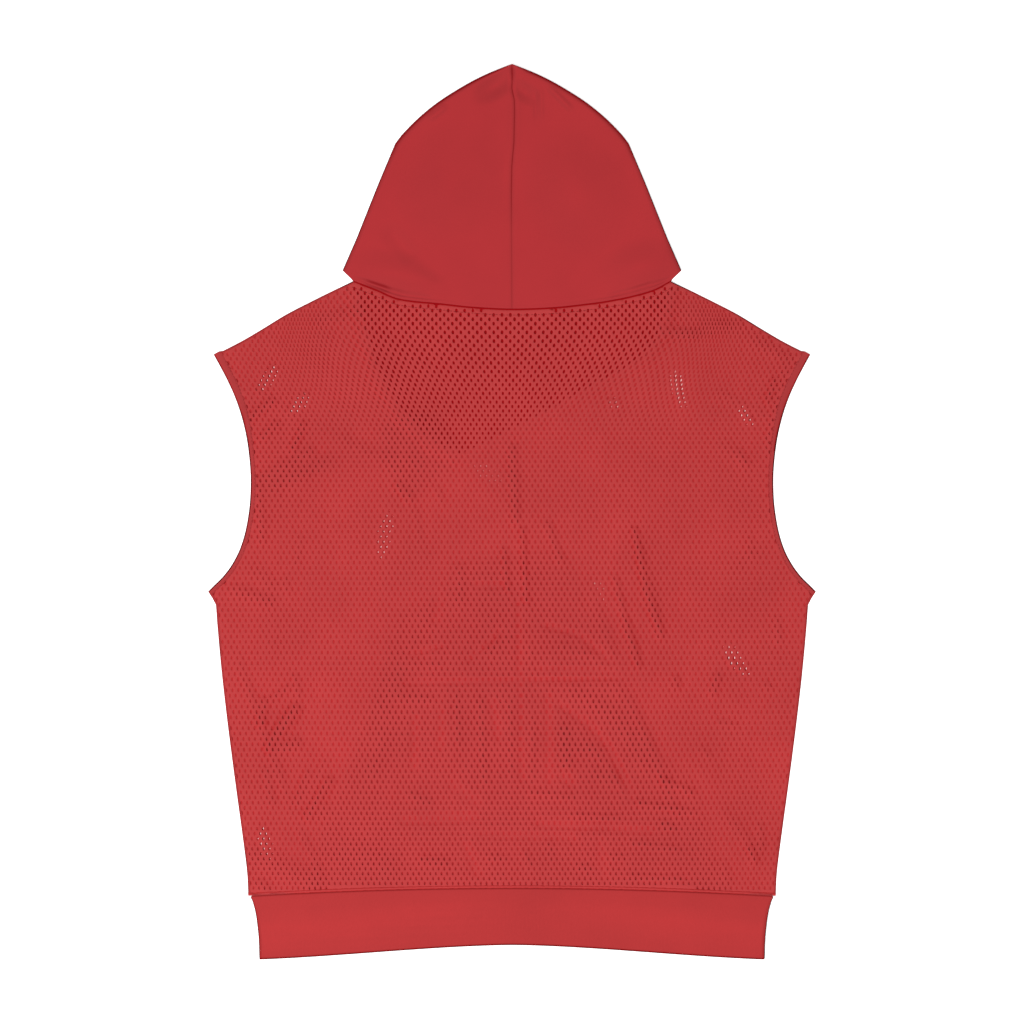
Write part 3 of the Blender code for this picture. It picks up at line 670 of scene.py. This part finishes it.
def cloth_material(
    name, color, shade, grain, relief, stretch=(1, 1, 1), shine=0.5, turns=(0.55, 0.96), bend=0
):
    """A matt knitted cloth, its colour darkened by painted shade where it turns down at an edge,
    hole or seam.

    color, shade: its lighter and darker tone; grain: size of its stitches; relief: their height;
    turns: how upright the cloth stands where its painted shade is darkest, and where it has none;
    bend: instead, the slope in degrees up to which its painted shade gets evenly darker.
    """
    made = bpy.data.materials.new(name)
    made.use_nodes = True
    tree = made.node_tree
    shader = tree.nodes["Principled BSDF"]
    shader.inputs["Roughness"].default_value = 0.85
    shader.inputs["Specular IOR Level"].default_value = shine

    place = add_node(tree, "TexCoord", {}).outputs
    scaled = add_node(tree, "Mapping", {"Vector": place["Object"]}, Scale=stretch).outputs
    patches = add_node(
        tree, "TexNoise", {"Vector": place["Object"]}, Scale=14.0, Detail=3.0, Roughness=0.55)
    fibres = add_node(
        tree, "TexNoise", {"Vector": scaled["Vector"]}, Scale=1 / grain, Detail=2.0, Roughness=0.6)
    half = add_node(tree, "Math", {0: patches.outputs["Fac"]}, operation="MULTIPLY")
    both = add_node(
        tree, "Math", {0: fibres.outputs["Fac"], 2: half.outputs[0]}, operation="MULTIPLY_ADD")
    for node in (half, both):
        node.inputs[1].default_value = 0.5
    ramp = add_node(tree, "ValToRGB", {"Fac": both.outputs[0]})
    for element, position, tone in zip(ramp.color_ramp.elements, (0.34, 0.66), (shade, color)):
        element.position, element.color = position, (*tone, 1)

    # Painted shade: the colour is scaled down as the surface tilts from level, standing in for the
    # shade at edges, hole rims, seams and creases.
    split = add_node(tree, "SeparateXYZ", {"Vector": place["Normal"]})
    level = add_node(tree, "Math", {0: split.outputs["Z"]}, operation="ABSOLUTE").outputs[0]
    if bend:
        slope = add_node(tree, "Math", {0: level}, operation="ARCCOSINE").outputs[0]
        depth = map_range(tree, slope, (0, math.radians(bend), 1.0, PAINTED_SHADE_KEEPS))
    else:
        depth = map_range(tree, level, (*turns, PAINTED_SHADE_KEEPS, 1.0))
    shaded_color = add_node(
        tree, "VectorMath", {0: ramp.outputs["Color"], "Scale": depth}, operation="SCALE")
    tree.links.new(shaded_color.outputs["Vector"], shader.inputs["Base Color"])
    if shine:
        gloss = map_range(tree, level, (*GLOSS_TURNS, 0, shine))
        tree.links.new(gloss, shader.inputs["Specular IOR Level"])
    bump = add_node(tree, "Bump", {"Height": fibres.outputs["Fac"]}, Strength=0.7, Distance=relief)
    tree.links.new(bump.outputs["Normal"], shader.inputs["Normal"])
    return made


# The turns or bend given to each cloth set from what slope its painted shade darkens it at edges,
# hole rims, seams and creases.
MESH_CLOTH = cloth_material(
    "mesh_knit", (0.434, 0.0245, 0.0255), (0.375, 0.020, 0.021), 0.0008, 0.00016, (1, 0.45, 1),
    turns=(0.36, 0.95))
FLEECE_CLOTH = cloth_material(
    "fleece", (0.390, 0.0105, 0.0145), (0.353, 0.0085, 0.0125), 0.0010, 0.00008,
    bend=47)
RIB_CLOTH = cloth_material(
    "rib_knit", (0.426, 0.0148, 0.016), (0.390, 0.0127, 0.0138), 0.0009, 0.00008, (1, 0.3, 1),
    bend=47)
EDGE_CLOTH = cloth_material(
    "mesh_hem", (0.370, 0.0185, 0.0205), (0.316, 0.0155, 0.0165), 0.0008, 0.00020, (1, 0.45, 1),
    turns=(0.74, 0.975))
THREAD_CLOTH = cloth_material(
    "thread", (0.420, 0.020, 0.021), (0.350, 0.015, 0.016), 0.0003, 0.00004)
# Painted shade: the front panel's and pocket's copy of the mesh knit, less grey and less glossy, so
# that where it shows through the back's holes it has the saturated look of knit in shade.
SHADED_UNDER_CLOTH = cloth_material(
    "mesh_knit_front_shaded", (0.436, 0.0175, 0.0195), (0.384, 0.0145, 0.0165), 0.0008, 0.00016,
    (1, 0.45, 1), shine=0.2)
# The inner side of the fleece, darkened by painted shade, since it lies in shade under the mesh at
# the neck.
SHADED_INSIDE_CLOTH = cloth_material(
    "fleece_inside_shaded", (0.300, 0.005, 0.007), (0.270, 0.004, 0.006), 0.0010, 0.00008, shine=0.0)


# --- Making pieces ---


def piece(name, points, faces, material, closed=True):
    data = bpy.data.meshes.new(name)
    data.from_pydata(np.asarray(points), [], faces)
    if closed:
        work = bmesh.new()
        work.from_mesh(data)
        bmesh.ops.recalc_face_normals(work, faces=work.faces)
        work.to_mesh(data)
        work.free()
    data.materials.append(material)
    data.shade_smooth()
    if closed:
        data.set_sharp_from_angle(angle=math.radians(SHARP_FROM))
    made = bpy.data.objects.new(name, data)
    bpy.context.scene.collection.objects.link(made)
    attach(made, "root")
    return made


def tube(start, rings, around, capped=True):
    """Faces of a tube made of rings of points, with its two ends."""
    end = start + (rings - 1) * around
    faces = []
    if capped:
        faces = [tuple(range(start, start + around)), tuple(range(end, end + around))]
    for a in range(start, end):
        b = a + 1 if (a + 1 - start) % around else a + 1 - around
        faces.append((a, b, b + around, a + around))
    return faces


def strip(name, line, upper, lower, cloth, over=above_back, within=None, widths=None):
    """A band of cloth along a line that has the garment on its left.

    upper: corners of its section as (inward, rise); over: makes a height of x, y and rise;
    lower: its other corners, as (inward, height);
    within: an outline to which points that would fall outside it are drawn in;
    widths: what each inward distance over a millimetre is multiplied by along the line.
    """
    left = leftward(np.gradient(line, axis=0))
    rings = []
    for corner, (inward, height) in enumerate([*upper, *lower]):
        at = line + inward * left
        if widths is not None and inward > 0.001:
            at = line + inward * widths[:, None] * left
        x, y = at.T.copy()
        if within is not None:
            out = ~inside(x, y, within)
            x[out], y[out] = nearest_on(x[out], y[out], within)
        z = over(x, y, height) if corner < len(upper) else np.full(len(x), height)
        rings.append(np.column_stack([x, y, z]))
    points = np.stack(rings, axis=1).reshape(-1, 3)
    return piece(name, points, tube(0, len(line), len(rings)), cloth)


def stitches(name, line, inward, rise):
    """A row of stitches that lie on the cloth beside a line; inward: one distance, or many."""
    line = line + leftward(np.gradient(line, axis=0)) * np.reshape(inward, (-1, 1))
    count = int(length_of(line) / (STITCH + STITCH_GAP))
    dense = evenly(line, 8 * count + 1)
    points, faces = [], []
    for i in range(count):
        middle = dense[8 * i + 4]
        ahead = dense[8 * i + 5] - dense[8 * i + 3]
        ahead /= np.hypot(*ahead)
        side = np.array([-ahead[1], ahead[0]])
        z = float(above_back(middle[:1], middle[1:], rise)[0])
        faces += tube(len(points), len(STITCH_RINGS), len(STITCH_SECTION))
        for share, fat, lift in STITCH_RINGS:
            at = middle + ahead * share * STITCH / 2
            for across, up in STITCH_SECTION:
                x, y = at + side * across * fat * THREAD / 2
                points.append((x, y, z + (up * fat + lift) * THREAD / 2))
    return piece(name, points, faces, THREAD_CLOTH)


# --- Mesh knit ---


def row_heights(low, high):
    """Heights of the rows of holes, by stepping up with ROW_SPACING."""
    ys, gaps = np.array(ROW_SPACING).T
    rows = [low]
    while rows[-1] < high:
        rows.append(rows[-1] + float(np.interp(rows[-1], ys, gaps)))
    return np.array(rows)


def pull_share(y):
    return 1 - smooth((y - PULL_FULL_Y) / (PULL_NONE_Y - PULL_FULL_Y))


def pulled(a, y):
    """Where the knit's column a lies at height y."""
    taper = 1 - HEM_TAPER * smooth((TAPER_FROM_Y - y) / TAPER_REACH)
    out = a - NECK_MIDDLE
    far = 1 - SIDE_EASE * smooth((np.abs(out) - SIDE_EASE_FROM) / SIDE_EASE_REACH)
    return a * taper + NECK_PULL * np.tanh(out / NECK_SPREAD) * pull_share(y) * far


def open_share(x, y):
    """How far the holes of the two panels come together: 1 lays them over each other."""
    within = smooth(from_line(x, y, POCKET_OUTLINE) / POCKET_OPEN_REACH)
    over_pocket = np.where(inside(x, y, POCKET_OUTLINE), within, 0)
    share = over_pocket * np.clip(POCKET_OPEN * slack(x, y), 0, POCKET_OPEN_MOST)
    for *oval, most in OPEN_SPOTS:
        spot = 1 - smooth((out_in_oval(x, y, *oval) - 0.7) / 0.7)
        share = np.maximum(share, most * spot)
    return share


def front_shift(a, y):
    """How far the front's columns lie beside the back's: half a pitch, but little in a spot."""
    x = pulled(a, y)
    share = open_share(x, y)
    return PITCH * (0.5 - 0.5 * share) + SHIFT_WAVES * (1 - share) * soft_waves(1.7 * x, 1.7 * y)


def even_shift(share):
    """The same for a panel whose columns lie evenly, a share of the pitch aside."""
    return lambda a, _: np.full(np.shape(a), share * PITCH)


def perforated(name, outline, corners, height, shift, may_hole, material):
    """A panel of mesh knit: one ring of faces round each hole, and plain cells at its edges."""
    low, high = outline.min(axis=0), outline.max(axis=0)
    rows = row_heights(FIRST_ROW_Y, high[1] + ROWS_PAST)
    columns = int((high[0] - low[0] + COLUMNS_PAST) / 2 / PITCH) + 2
    ii, kk = np.meshgrid(np.arange(-columns, columns + 1), np.arange(1, len(rows) - 1))
    odd = kk % 2
    a, y = (ii + 0.5 * odd) * PITCH, rows[kk]
    up, down = rows[kk + 1] - y, y - rows[kk - 1]

    def lay(a, y):
        return pulled(a + shift(a, y), y), y

    # Each cell owns its top and bottom corner; the others belong to cells above and below it.
    top_x, top_y = lay(a, y + CORNER_SHARE * up)
    low_x, low_y = lay(a, y - CORNER_SHARE * down)
    mid_x, mid_y = lay(a, y)
    count, wide = ii.size, ii.shape[1]
    cell = np.arange(count).reshape(ii.shape)
    right_of, left_of = odd, odd - 1
    corner = np.stack([
        cell,
        count + cell + wide + right_of,
        cell - wide + right_of,
        count + cell,
        cell - wide + left_of,
        count + cell + wide + left_of,
    ], axis=-1)
    whole = (kk > 1) & (kk < len(rows) - 2) & (np.abs(ii) < columns)
    corner = corner[whole]
    x = np.concatenate([top_x.ravel(), low_x.ravel()])
    yy = np.concatenate([top_y.ravel(), low_y.ravel()])
    kept = inside(x, yy, outline)[corner].any(axis=1)
    corner = corner[kept]
    mid_x, mid_y, mid_a = mid_x[whole][kept], mid_y[whole][kept], a[whole][kept]
    mid_row = 0.5 * (up + down)[whole][kept]
    used, corner = np.unique(corner, return_inverse=True)
    corner = corner.reshape(-1, 6)
    x, yy = x[used], yy[used]

    # Corners that fall outside are drawn in to the outline, and its own corners stay sharp.
    outside = ~inside(x, yy, outline)
    x[outside], yy[outside] = nearest_on(x[outside], yy[outside], outline)
    at = np.flatnonzero(outside)
    for cx, cy in corners:
        nearest = at[np.argmin(np.hypot(x[at] - cx, yy[at] - cy))]
        x[nearest], yy[nearest] = cx, cy

    holed = inside(mid_x, mid_y, outline) & may_hole(mid_x, mid_y)
    solid, ring = corner[~holed], corner[holed]
    size = 1 + HOLE_UNEVEN * fine_waves(0.31 * mid_x[holed], 0.31 * mid_y[holed])
    half_y = HOLE_HALF[1] * size * mid_row[holed] / USUAL_ROW
    half_y = half_y * (1 + HOLE_STRETCH * pull_share(mid_y[holed]))
    half_x = HOLE_HALF[0] * size
    turn = np.radians(90 - 45 * np.arange(8))
    hole_a = mid_a[holed][:, None] + half_x[:, None] * np.cos(turn)
    hole_y = mid_y[holed][:, None] + half_y[:, None] * np.sin(turn)
    hole_x, hole_y = lay(hole_a.ravel(), hole_y.ravel())

    z = height(x, yy) + PUFF * ~outside
    hole_z = height(hole_x, hole_y) - DIP
    points = np.column_stack([
        np.concatenate([x, hole_x]), np.concatenate([yy, hole_y]), np.concatenate([z, hole_z])
    ])
    h = len(x) + 8 * np.arange(len(ring))
    o = ring.T
    groups = [
        (o[0], h, h + 1, o[1]), (o[2], h + 3, h + 4, o[3]),
        (o[3], h + 4, h + 5, o[4]), (o[5], h + 7, h, o[0]),
        (o[1], h + 1, h + 2), (o[1], h + 2, o[2]), (o[2], h + 2, h + 3),
        (o[4], h + 5, h + 6), (o[4], h + 6, o[5]), (o[5], h + 6, h + 7),
    ]
    faces = [face for group in groups for face in np.column_stack(group).tolist()]
    faces += [hexagon for hexagon in solid[:, ::-1].tolist() if len(set(hexagon)) == 6]
    return piece(name, points, faces, material, closed=False)


# --- Body ---


def hem_share(y):
    """How wide an armhole's hem is at height y, as a share of HEM_WIDTH."""
    return mix(HEM_NARROW, 1, smooth((y - HEM_NARROW_Y) / HEM_WIDEN_REACH))


def body_holes(outline, neck):
    """Holes up to the seams, but none in an armhole's hem."""

    def may_hole(x, y):
        arms = np.minimum(*(from_line(x, y, line, False) for line in ARM_LINES.values()))
        return (
            (from_line(x, y, outline) > PLAIN_SIDE)
            & (arms > HEM_WIDTH * hem_share(y) - UNDER_HEM)
            & (y > hem_seam_y(x) + HEM_SEAM_WIDTH + PLAIN_HEM)
            & (from_line(x, y, neck, False) > PLAIN_NECK)
        )

    return may_hole


def make_back():
    made = perforated(
        "back_mesh", drawn_in(panel_outline(SEWN_NECK_LINE), MESH_INSET), BODY_CORNERS,
        back_mesh_top, even_shift(0), body_holes(BACK_OUTLINE, BACK_NECK_LINE), MESH_CLOTH)
    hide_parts("back")
    return made


def make_front():
    made = perforated(
        "front_mesh", drawn_in(FRONT_OUTLINE, MESH_INSET), BODY_CORNERS,
        front_top, front_shift, body_holes(FRONT_OUTLINE, FRONT_NECK_LINE), SHADED_UNDER_CLOTH)
    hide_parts("front")
    return made


def make_pocket():
    made = perforated(
        "pocket_mesh", POCKET_OUTLINE, [POCKET_OUTLINE[0], POCKET_OUTLINE[-1]],
        lambda x, y: np.full(np.shape(x), POCKET_HEIGHT), even_shift(0.5),
        lambda x, y: from_line(x, y, POCKET_OUTLINE) > POCKET_PLAIN, SHADED_UNDER_CLOTH)
    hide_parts("pocket")
    return made


def make_edges():
    """Armhole hems of back and front, and the seams down the sides and along the shoulders."""
    made = []
    wide = HEM_WIDTH
    for side, line in ARM_LINES.items():
        widths = hem_share(line[:, 1])
        made.append(strip(
            f"armhole_hem_back_{side}", line,
            [
                (wide + 0.0004, -0.00030), (wide, -0.00005), (wide - 0.0011, 0.00022),
                (wide * 0.5, 0.00032), (0.0018, 0.00022), (0.0010, -0.00004),
                (0.0004, -0.00042), (0.0, -0.00075),
            ],
            [(0.0004, FRONT_TOP), (wide, FRONT_TOP + 0.0002)],
            EDGE_CLOTH, within=BACK_OUTLINE, widths=widths))
        made.append(strip(
            f"armhole_hem_front_{side}", line, [],
            [
                (wide, FRONT_TOP), (0.0008, FRONT_TOP - 0.0001), (0.0001, 0.0004),
                (0.0008, 0.0001), (wide, 0.0001),
            ], EDGE_CLOTH, within=BACK_OUTLINE, widths=widths))
    wide = SEAM_WIDTH
    for part, lines in (("side_seam", SIDE_LINES), ("shoulder_seam", SHOULDER_LINES)):
        for side, line in lines.items():
            made.append(strip(
                f"{part}_{side}", line,
                [
                    (wide, -0.00055), (wide * 0.7, -0.00012), (wide * 0.5, -0.00006),
                    (wide * 0.3, -0.00020), (wide * 0.12, -0.00060),
                ],
                [(0.0, 0.0006), (0.0002, 0.0003), (0.0008, 0.00005), (wide, 0.00005)],
                EDGE_CLOTH, within=BACK_OUTLINE))
    return made


def make_hem_seam():
    """The body's lower edge where the band is sewn on, a little uneven."""

    def uneven(x, y, rise):
        return back_top(x, y) + rise + 0.00012 * np.sin(900 * x) * np.sin(230 * x + 1)

    wide = HEM_SEAM_WIDTH
    line = evenly(HEM_LINE, 700)
    line[:, 1] += 0.00010 * np.sin(760 * line[:, 0]) * np.sin(170 * line[:, 0] + 2)
    return strip(
        "hem_seam", line,
        [
            (wide + 0.0006, -0.0007), (wide, -0.00015), (wide * 0.72, 0.0002),
            (wide * 0.4, 0.00035), (wide * 0.12, 0.0003), (-0.0002, -0.0001),
        ],
        [(0.0002, 0.0012), (0.0008, 0.0002), (wide, 0.0002)],
        MESH_CLOTH, over=uneven)


def make_hem_allowance():
    """The body's seam allowance, between the two layers of the band."""
    return strip(
        "hem_allowance", HEM_LINE * (0.985, 1), [],
        [(0.0012, 0.0020), (0.0012, 0.0023), (-0.0060, 0.00225), (-0.0060, 0.00195)],
        EDGE_CLOTH)


def make_neck_allowance():
    """The hood's seam allowance, turned down under the mesh and topstitched."""
    # Its darker inside fleece is painted shade, where it lies under the mesh.
    return strip(
        "neck_allowance", BACK_NECK_LINE[::-1],
        [
            (-0.0006, -0.0003), (0.0012, -0.00045), (ALLOWANCE - 0.0008, -0.0008),
            (ALLOWANCE, -0.0010), (ALLOWANCE - 0.0004, -0.0013), (-0.0006, -0.0013),
        ], [], SHADED_INSIDE_CLOTH, over=lambda x, y, rise: back_top(x, y) + rise)


def make_front_neck_seam():
    """The allowance that joins the hood's turned-under sides to the front's neckline."""
    return strip(
        "front_neck_seam", FRONT_NECK_LINE[::-1], [],
        [
            (-0.0001, 0.0013), (0.0008, 0.0013), (0.0050, 0.0009), (0.0055, 0.0007),
            (0.0050, 0.0004), (-0.0001, 0.0004),
        ], FLEECE_CLOTH, within=BACK_OUTLINE)


def make_body_stitches():
    made = []
    for side, line in ARM_LINES.items():
        inward = HEM_WIDTH * hem_share(line[:, 1]) - ARM_STITCH_INSET
        made.append(stitches(f"armhole_stitches_{side}", line, inward, 0.0002))
    made.append(stitches(
        "neck_stitches", BACK_NECK_LINE[::-1], NECK_STITCH_INSET, 0.0001))
    return made


# --- Hood ---


def hood_outline_right():
    """How far up the side fold its rows lie, and the fold's points and then the face edge's."""
    fold = evenly(SIDE_FOLD, 400)
    share = np.concatenate([
        np.linspace(0, HOOD_NECK_SHARE, HOOD_NECK_ROWS, endpoint=False),
        np.linspace(HOOD_NECK_SHARE, 1, HOOD_ROWS_LOW - HOOD_NECK_ROWS + 1),
    ])
    arc = evenly(spline(FACE_ARC, 8), HOOD_ROWS_HIGH + 1)
    return share, np.vstack([at_share(fold, share)[:-1], arc])


def hood_rows(side):
    """The upper layer's rows from the centre seam out, and how far up the fold the low ones lie.

    The lowest row has the neckline's shape, which the rows above it lose by and by.
    """
    low_share, outline = hood_outline_right()
    neck_xs = np.concatenate([np.linspace(0, NECK_CORNER[0], 60), [HOOD_TIP[0]]])
    neck_ys = np.append(back_neck_y(side * neck_xs[:-1]) + GAP, HOOD_TIP[1])
    neck = np.column_stack([neck_xs, neck_ys])
    t = (neck[:, :1] - neck[0, 0]) / (neck[-1, 0] - neck[0, 0])
    bow = neck - mix(neck[0], neck[-1], t)
    shares = np.concatenate([
        low_share * CORNER_UP_SEAM, np.linspace(CORNER_UP_SEAM, 1, HOOD_ROWS_HIGH + 1)[1:]
    ])
    rows = []
    for share, edge in zip(shares, outline):
        y = mix(neck[0, 1], FACE_ARC[-1][1], share)
        start = np.array([side * float(seam_x(y)), y])
        rows.append(mix(start, edge, t) + max(1 - share / CORNER_UP_SEAM, 0.0) ** 2 * bow)
    rows[-1] = mix(outline[-1] - (PEAK_GAP, 0), outline[-1], t)
    return low_share, rows


def hood_faces(grid, fold_column):
    """Faces between rows of points; where a row is longer, its rest fans out from the fold."""
    faces = []
    for below, above in zip(grid, grid[1:]):
        shared = min(len(below), len(above)) - 1
        for c in range(shared):
            faces.append((below[c], below[c + 1], above[c + 1], above[c]))
        for c in range(shared, len(below) - 1):
            faces.append((below[c], below[c + 1], above[fold_column]))
    return faces


def make_hood(name, side):
    """Half of the hood: upper layer, side fold and the layer turned under it, as one shell."""
    low_share, rows = hood_rows(side)
    front = FRONT_NECK_LINE * (side, 1)
    front = front[np.argsort(-front[:, 0], kind="stable")]
    front = front[front[:, 0] >= side * NECK_VEE[0] - 1e-6]
    throat = np.array([side * THROAT[0], THROAT[1]])
    vee = front[-1]
    outer, inner, grid = [], [], []

    def add(x, y, z, inner_x, inner_y, inner_z):
        outer.append((side * x, y, z))
        inner.append((side * inner_x, inner_y, inner_z))
        return len(outer) - 1

    for r, line in enumerate(rows):
        total = length_of(line)
        folded = r < HOOD_ROWS_LOW
        # From the side fold to the hem round the face opening, over BLEND_ROWS.
        blend = float(smooth((r - HOOD_ROWS_LOW + BLEND_ROWS) / BLEND_ROWS))
        shrink = min(1.0, total / SHORT_ROW)
        edge_x, edge_y = line[-1]
        z_flat = float(hood_top(np.array([side * edge_x]), np.array([edge_y]))[0])
        z_flat = max(z_flat, HOOD_EDGE_TOP)
        roll = mix(*ROLL_HEIGHT, blend) * shrink
        z_edge = z_flat - roll
        radius = mix((z_edge - HOOD_FLOOR) / 2, HOOD_HEM, blend) * shrink
        middle = z_edge - radius
        wide = FOLD_WIDTH * radius

        # The upper layer, from the centre seam to where it starts to turn round the fold
        starts = np.array(HOOD_SEAM_STEPS) * shrink
        ends = total - wide - np.array(ROLL_STEPS) * shrink
        between = np.linspace(starts[-1], ends[0], HOOD_MIDDLE_COLUMNS)
        flat = np.concatenate([starts[:-1], between, ends[1:]])
        to_fold = total - wide - flat
        spots = at_distance(line, flat)
        tops = hood_top(side * spots[:, 0], spots[:, 1])
        tops = mix(tops, z_flat, smooth(1 - to_fold / LEVEL_REACH))
        near = np.clip(1 - to_fold / (mix(*ROLL_REACH, blend) * shrink), 0, 1)
        tops = tops - roll * near ** (2 + blend)
        row = [add(x, y, z, x, y, z - HOOD_WALL) for (x, y), z in zip(spots, tops)]

        # The fold or hem itself
        out = line[-1] - at_distance(line, total - END_RUN * shrink)[0]
        out /= np.hypot(*out)
        core = line[-1] - out * wide
        thin = mix(max(radius - HOOD_WALL, LEAST_INSIDE), HEM_INSIDE, blend)
        narrow = thin * wide / radius
        for turn in FOLD_TURNS:
            c, s = direction(turn)
            x, y = core + out * wide * c
            if folded:
                inner_x, inner_y = core + out * narrow * c
                inner_z = middle + thin * s
            else:
                inner_x, inner_y = core + out * (wide - HEM_SKIN) * c
                inner_z = middle - radius * s * HEM_INNER - HEM_SKIN
            row.append(add(x, y, middle + radius * s, inner_x, inner_y, inner_z))
        fold_column = len(row) - 1
        if r == 0:
            low_edge = evenly(np.vstack([core, front]), BOW_POINTS)
            bow = low_edge - mix(core, vee, np.linspace(0, 1, BOW_POINTS)[:, None])

        # The layer turned under, from the fold to the front's neckline and up to the throat
        if folded:
            up = low_share[r]
            if up < THROAT_SHARE:
                end = mix(vee, throat, up / THROAT_SHARE)
            else:
                end = mix(throat, np.array(HOOD_CORNER), (up - THROAT_SHARE) / (1 - THROAT_SHARE))
            for turn in LAST_UNDER_TURNS:
                c, s = direction(turn)
                row.append(add(*(core + out * wide * c), middle + radius * s,
                               *(core + out * narrow * c), middle + thin * s))
            low = middle - radius
            for share in np.linspace(0, 1, UNDER_COLUMNS + 1)[1:]:
                x, y = mix(core, end, share) + (1 - up) ** 2 * at_share(bow, share)[0]
                row.append(add(x, y, low, x, y, low + HOOD_WALL))
        grid.append(row)

    faces = hood_faces(grid, fold_column)
    count = len(outer)
    runs = [edge for face in faces for edge in zip(face, face[1:] + face[:1])]
    single = set(runs)
    shell = faces + [tuple(count + i for i in face[::-1]) for face in faces]
    shell += [(b, a, count + a, count + b) for a, b in runs if (b, a) not in single]
    made = piece(name, outer + inner, shell, FLEECE_CLOTH)
    # The inner skin takes the darker inside fleece: painted shade where the turned-under layer
    # shows through the holes.
    made.data.materials.append(SHADED_INSIDE_CLOTH)
    for face in made.data.polygons:
        face.material_index = int(all(v >= count for v in face.vertices))
    return made


# --- Band ---


def band_levels():
    """Levels up the band: share of its height, distance from there, share of its wall there."""
    levels = [(0, rise, fat) for rise, fat in BAND_EDGE_STEPS]
    levels += [(part, 0, 1.0) for part in np.linspace(*BAND_MIDDLE, BAND_MIDDLE_LEVELS)]
    return levels + [(1, -rise, fat) for rise, fat in BAND_EDGE_STEPS[3::-1]]


def band_ring(part, rise, fat, skin):
    """Points round the band at a level, of its outer skin (1) or its inner one (-1)."""
    half = float(np.interp(part, *np.array(BAND).T))
    mid = (BAND_TOP + BAND_FLOOR) / 2
    centre = mid - BAND_WALL / 2  # half distance between the walls' middles
    reach = centre + BAND_WALL / 2 * fat * skin
    flat = half - BAND_ROUND * mid
    xs = np.linspace(flat, -flat, int(2 * HEM_BOTTOM_HALF / RIB_PITCH) * 4 + 1)
    rib = RIB_HEIGHT * np.cos(2 * np.pi * xs / RIB_PITCH) * fat if skin > 0 else 0 * xs
    roll = BAND_DROOP * np.clip(1 - (flat - np.abs(xs)) / BAND_ROLL_REACH, 0, 1) ** 2
    side = []
    for turn in BAND_TURNS:
        c, s = direction(turn)
        side.append((flat + BAND_ROUND * reach * c, mid + (reach - BAND_DROOP * (turn > 0)) * s))
    x, z = np.array([
        *zip(xs, mid + reach + rib - roll),
        *((-x, z) for x, z in side),
        *zip(xs[::-1], mid - reach + RIB_HEIGHT - rib[::-1]),
        *side[::-1],
    ]).T
    y = mix(hem_bottom_y(x), hem_seam_y(x) - GAP, part) + rise
    upper = z > mid
    z = z + BAND_WAVES * soft_waves(2 * x, 2 * y) * upper
    pressed = BAND_TAPER * smooth((part - BAND_TAPER_FROM) / (1 - BAND_TAPER_FROM))
    z = np.where(z > mid, mix(mid, z, 1 - pressed), z)
    if part == 0:
        droop = BAND_DROOP * (1 - rise / BAND_EDGE_STEPS[-1][0]) ** 2
        z = np.where(z > mid + BAND_UPPER, z - droop, z)
    return np.column_stack([x, y, z])


def make_hem_band():
    """A flattened ring of rib, its lower edge a rounded fold, with fine upright ribs."""
    levels = band_levels()
    outer, inner = ([band_ring(*level, skin) for level in levels] for skin in (1, -1))
    around = len(outer[0])
    count = len(levels) * around
    faces = [(a, d, c, b) for a, b, c, d in tube(0, len(levels), around, capped=False)]
    faces += tube(count, len(levels), around, capped=False)
    last = count - around
    for c in range(around):
        d = (c + 1) % around
        faces.append((c, d, count + d, count + c))
        faces.append((last + c, count + last + c, count + last + d, last + d))
    made = piece("rib_band", np.vstack(outer + inner), faces, RIB_CLOTH, closed=False)
    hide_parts("hem_band")
    return made


# --- Stage ---


def make_floor():
    bpy.ops.mesh.primitive_plane_add(size=12, location=(0, 0, -0.0002))
    floor = bpy.context.object
    floor.name = "floor"
    made = bpy.data.materials.new("floor")
    made.use_nodes = True
    shader = made.node_tree.nodes["Principled BSDF"]
    for name, value in (
        ("Base Color", (0.93, 0.93, 0.93, 1)), ("Roughness", 0.9), ("Specular IOR Level", 0.1),
        ("Emission Color", (1, 1, 1, 1)), ("Emission Strength", 0.55),
    ):
        shader.inputs[name].default_value = value
    floor.data.materials.append(made)


def make_camera():
    data = bpy.data.cameras.new("camera")
    data.sensor_width = SENSOR
    data.lens = SENSOR * CAMERA_HEIGHT / VIEW_WIDTH
    data.clip_end = 50
    camera = bpy.data.objects.new("camera", data)
    camera.location = (0, 0, CAMERA_HEIGHT + CLOTH_LEVEL)
    bpy.context.scene.collection.objects.link(camera)
    bpy.context.scene.camera = camera


def make_lights():
    world = bpy.data.worlds.new("studio")
    world.use_nodes = True
    sky = world.node_tree.nodes["Background"]
    sky.inputs["Color"].default_value = (1, 1, 1, 1)
    sky.inputs["Strength"].default_value = 0.56
    bpy.context.scene.world = world
    data = bpy.data.lights.new("key", "AREA")
    data.shape, data.size, data.energy = "DISK", 2.0, 195
    key = bpy.data.objects.new("key", data)
    key.location = KEY_PLACE
    key.rotation_euler = Vector(KEY_PLACE).to_track_quat("Z", "Y").to_euler()
    bpy.context.scene.collection.objects.link(key)


# --- The garment ---


def main():
    view = bpy.context.scene.view_settings
    view.view_transform, view.look = "Standard", "None"
    make_camera()
    make_lights()
    make_floor()
    back, front, pocket = make_back(), make_front(), make_pocket()
    edges = make_edges() + [make_hem_seam(), make_hem_allowance()] + make_body_stitches()
    hood_left, hood_right = make_hood("hood_shell_left", -1), make_hood("hood_shell_right", 1)
    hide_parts("hood_left")
    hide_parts("hood_right")
    allowances = [make_neck_allowance(), make_front_neck_seam()]
    band = make_hem_band()


main()
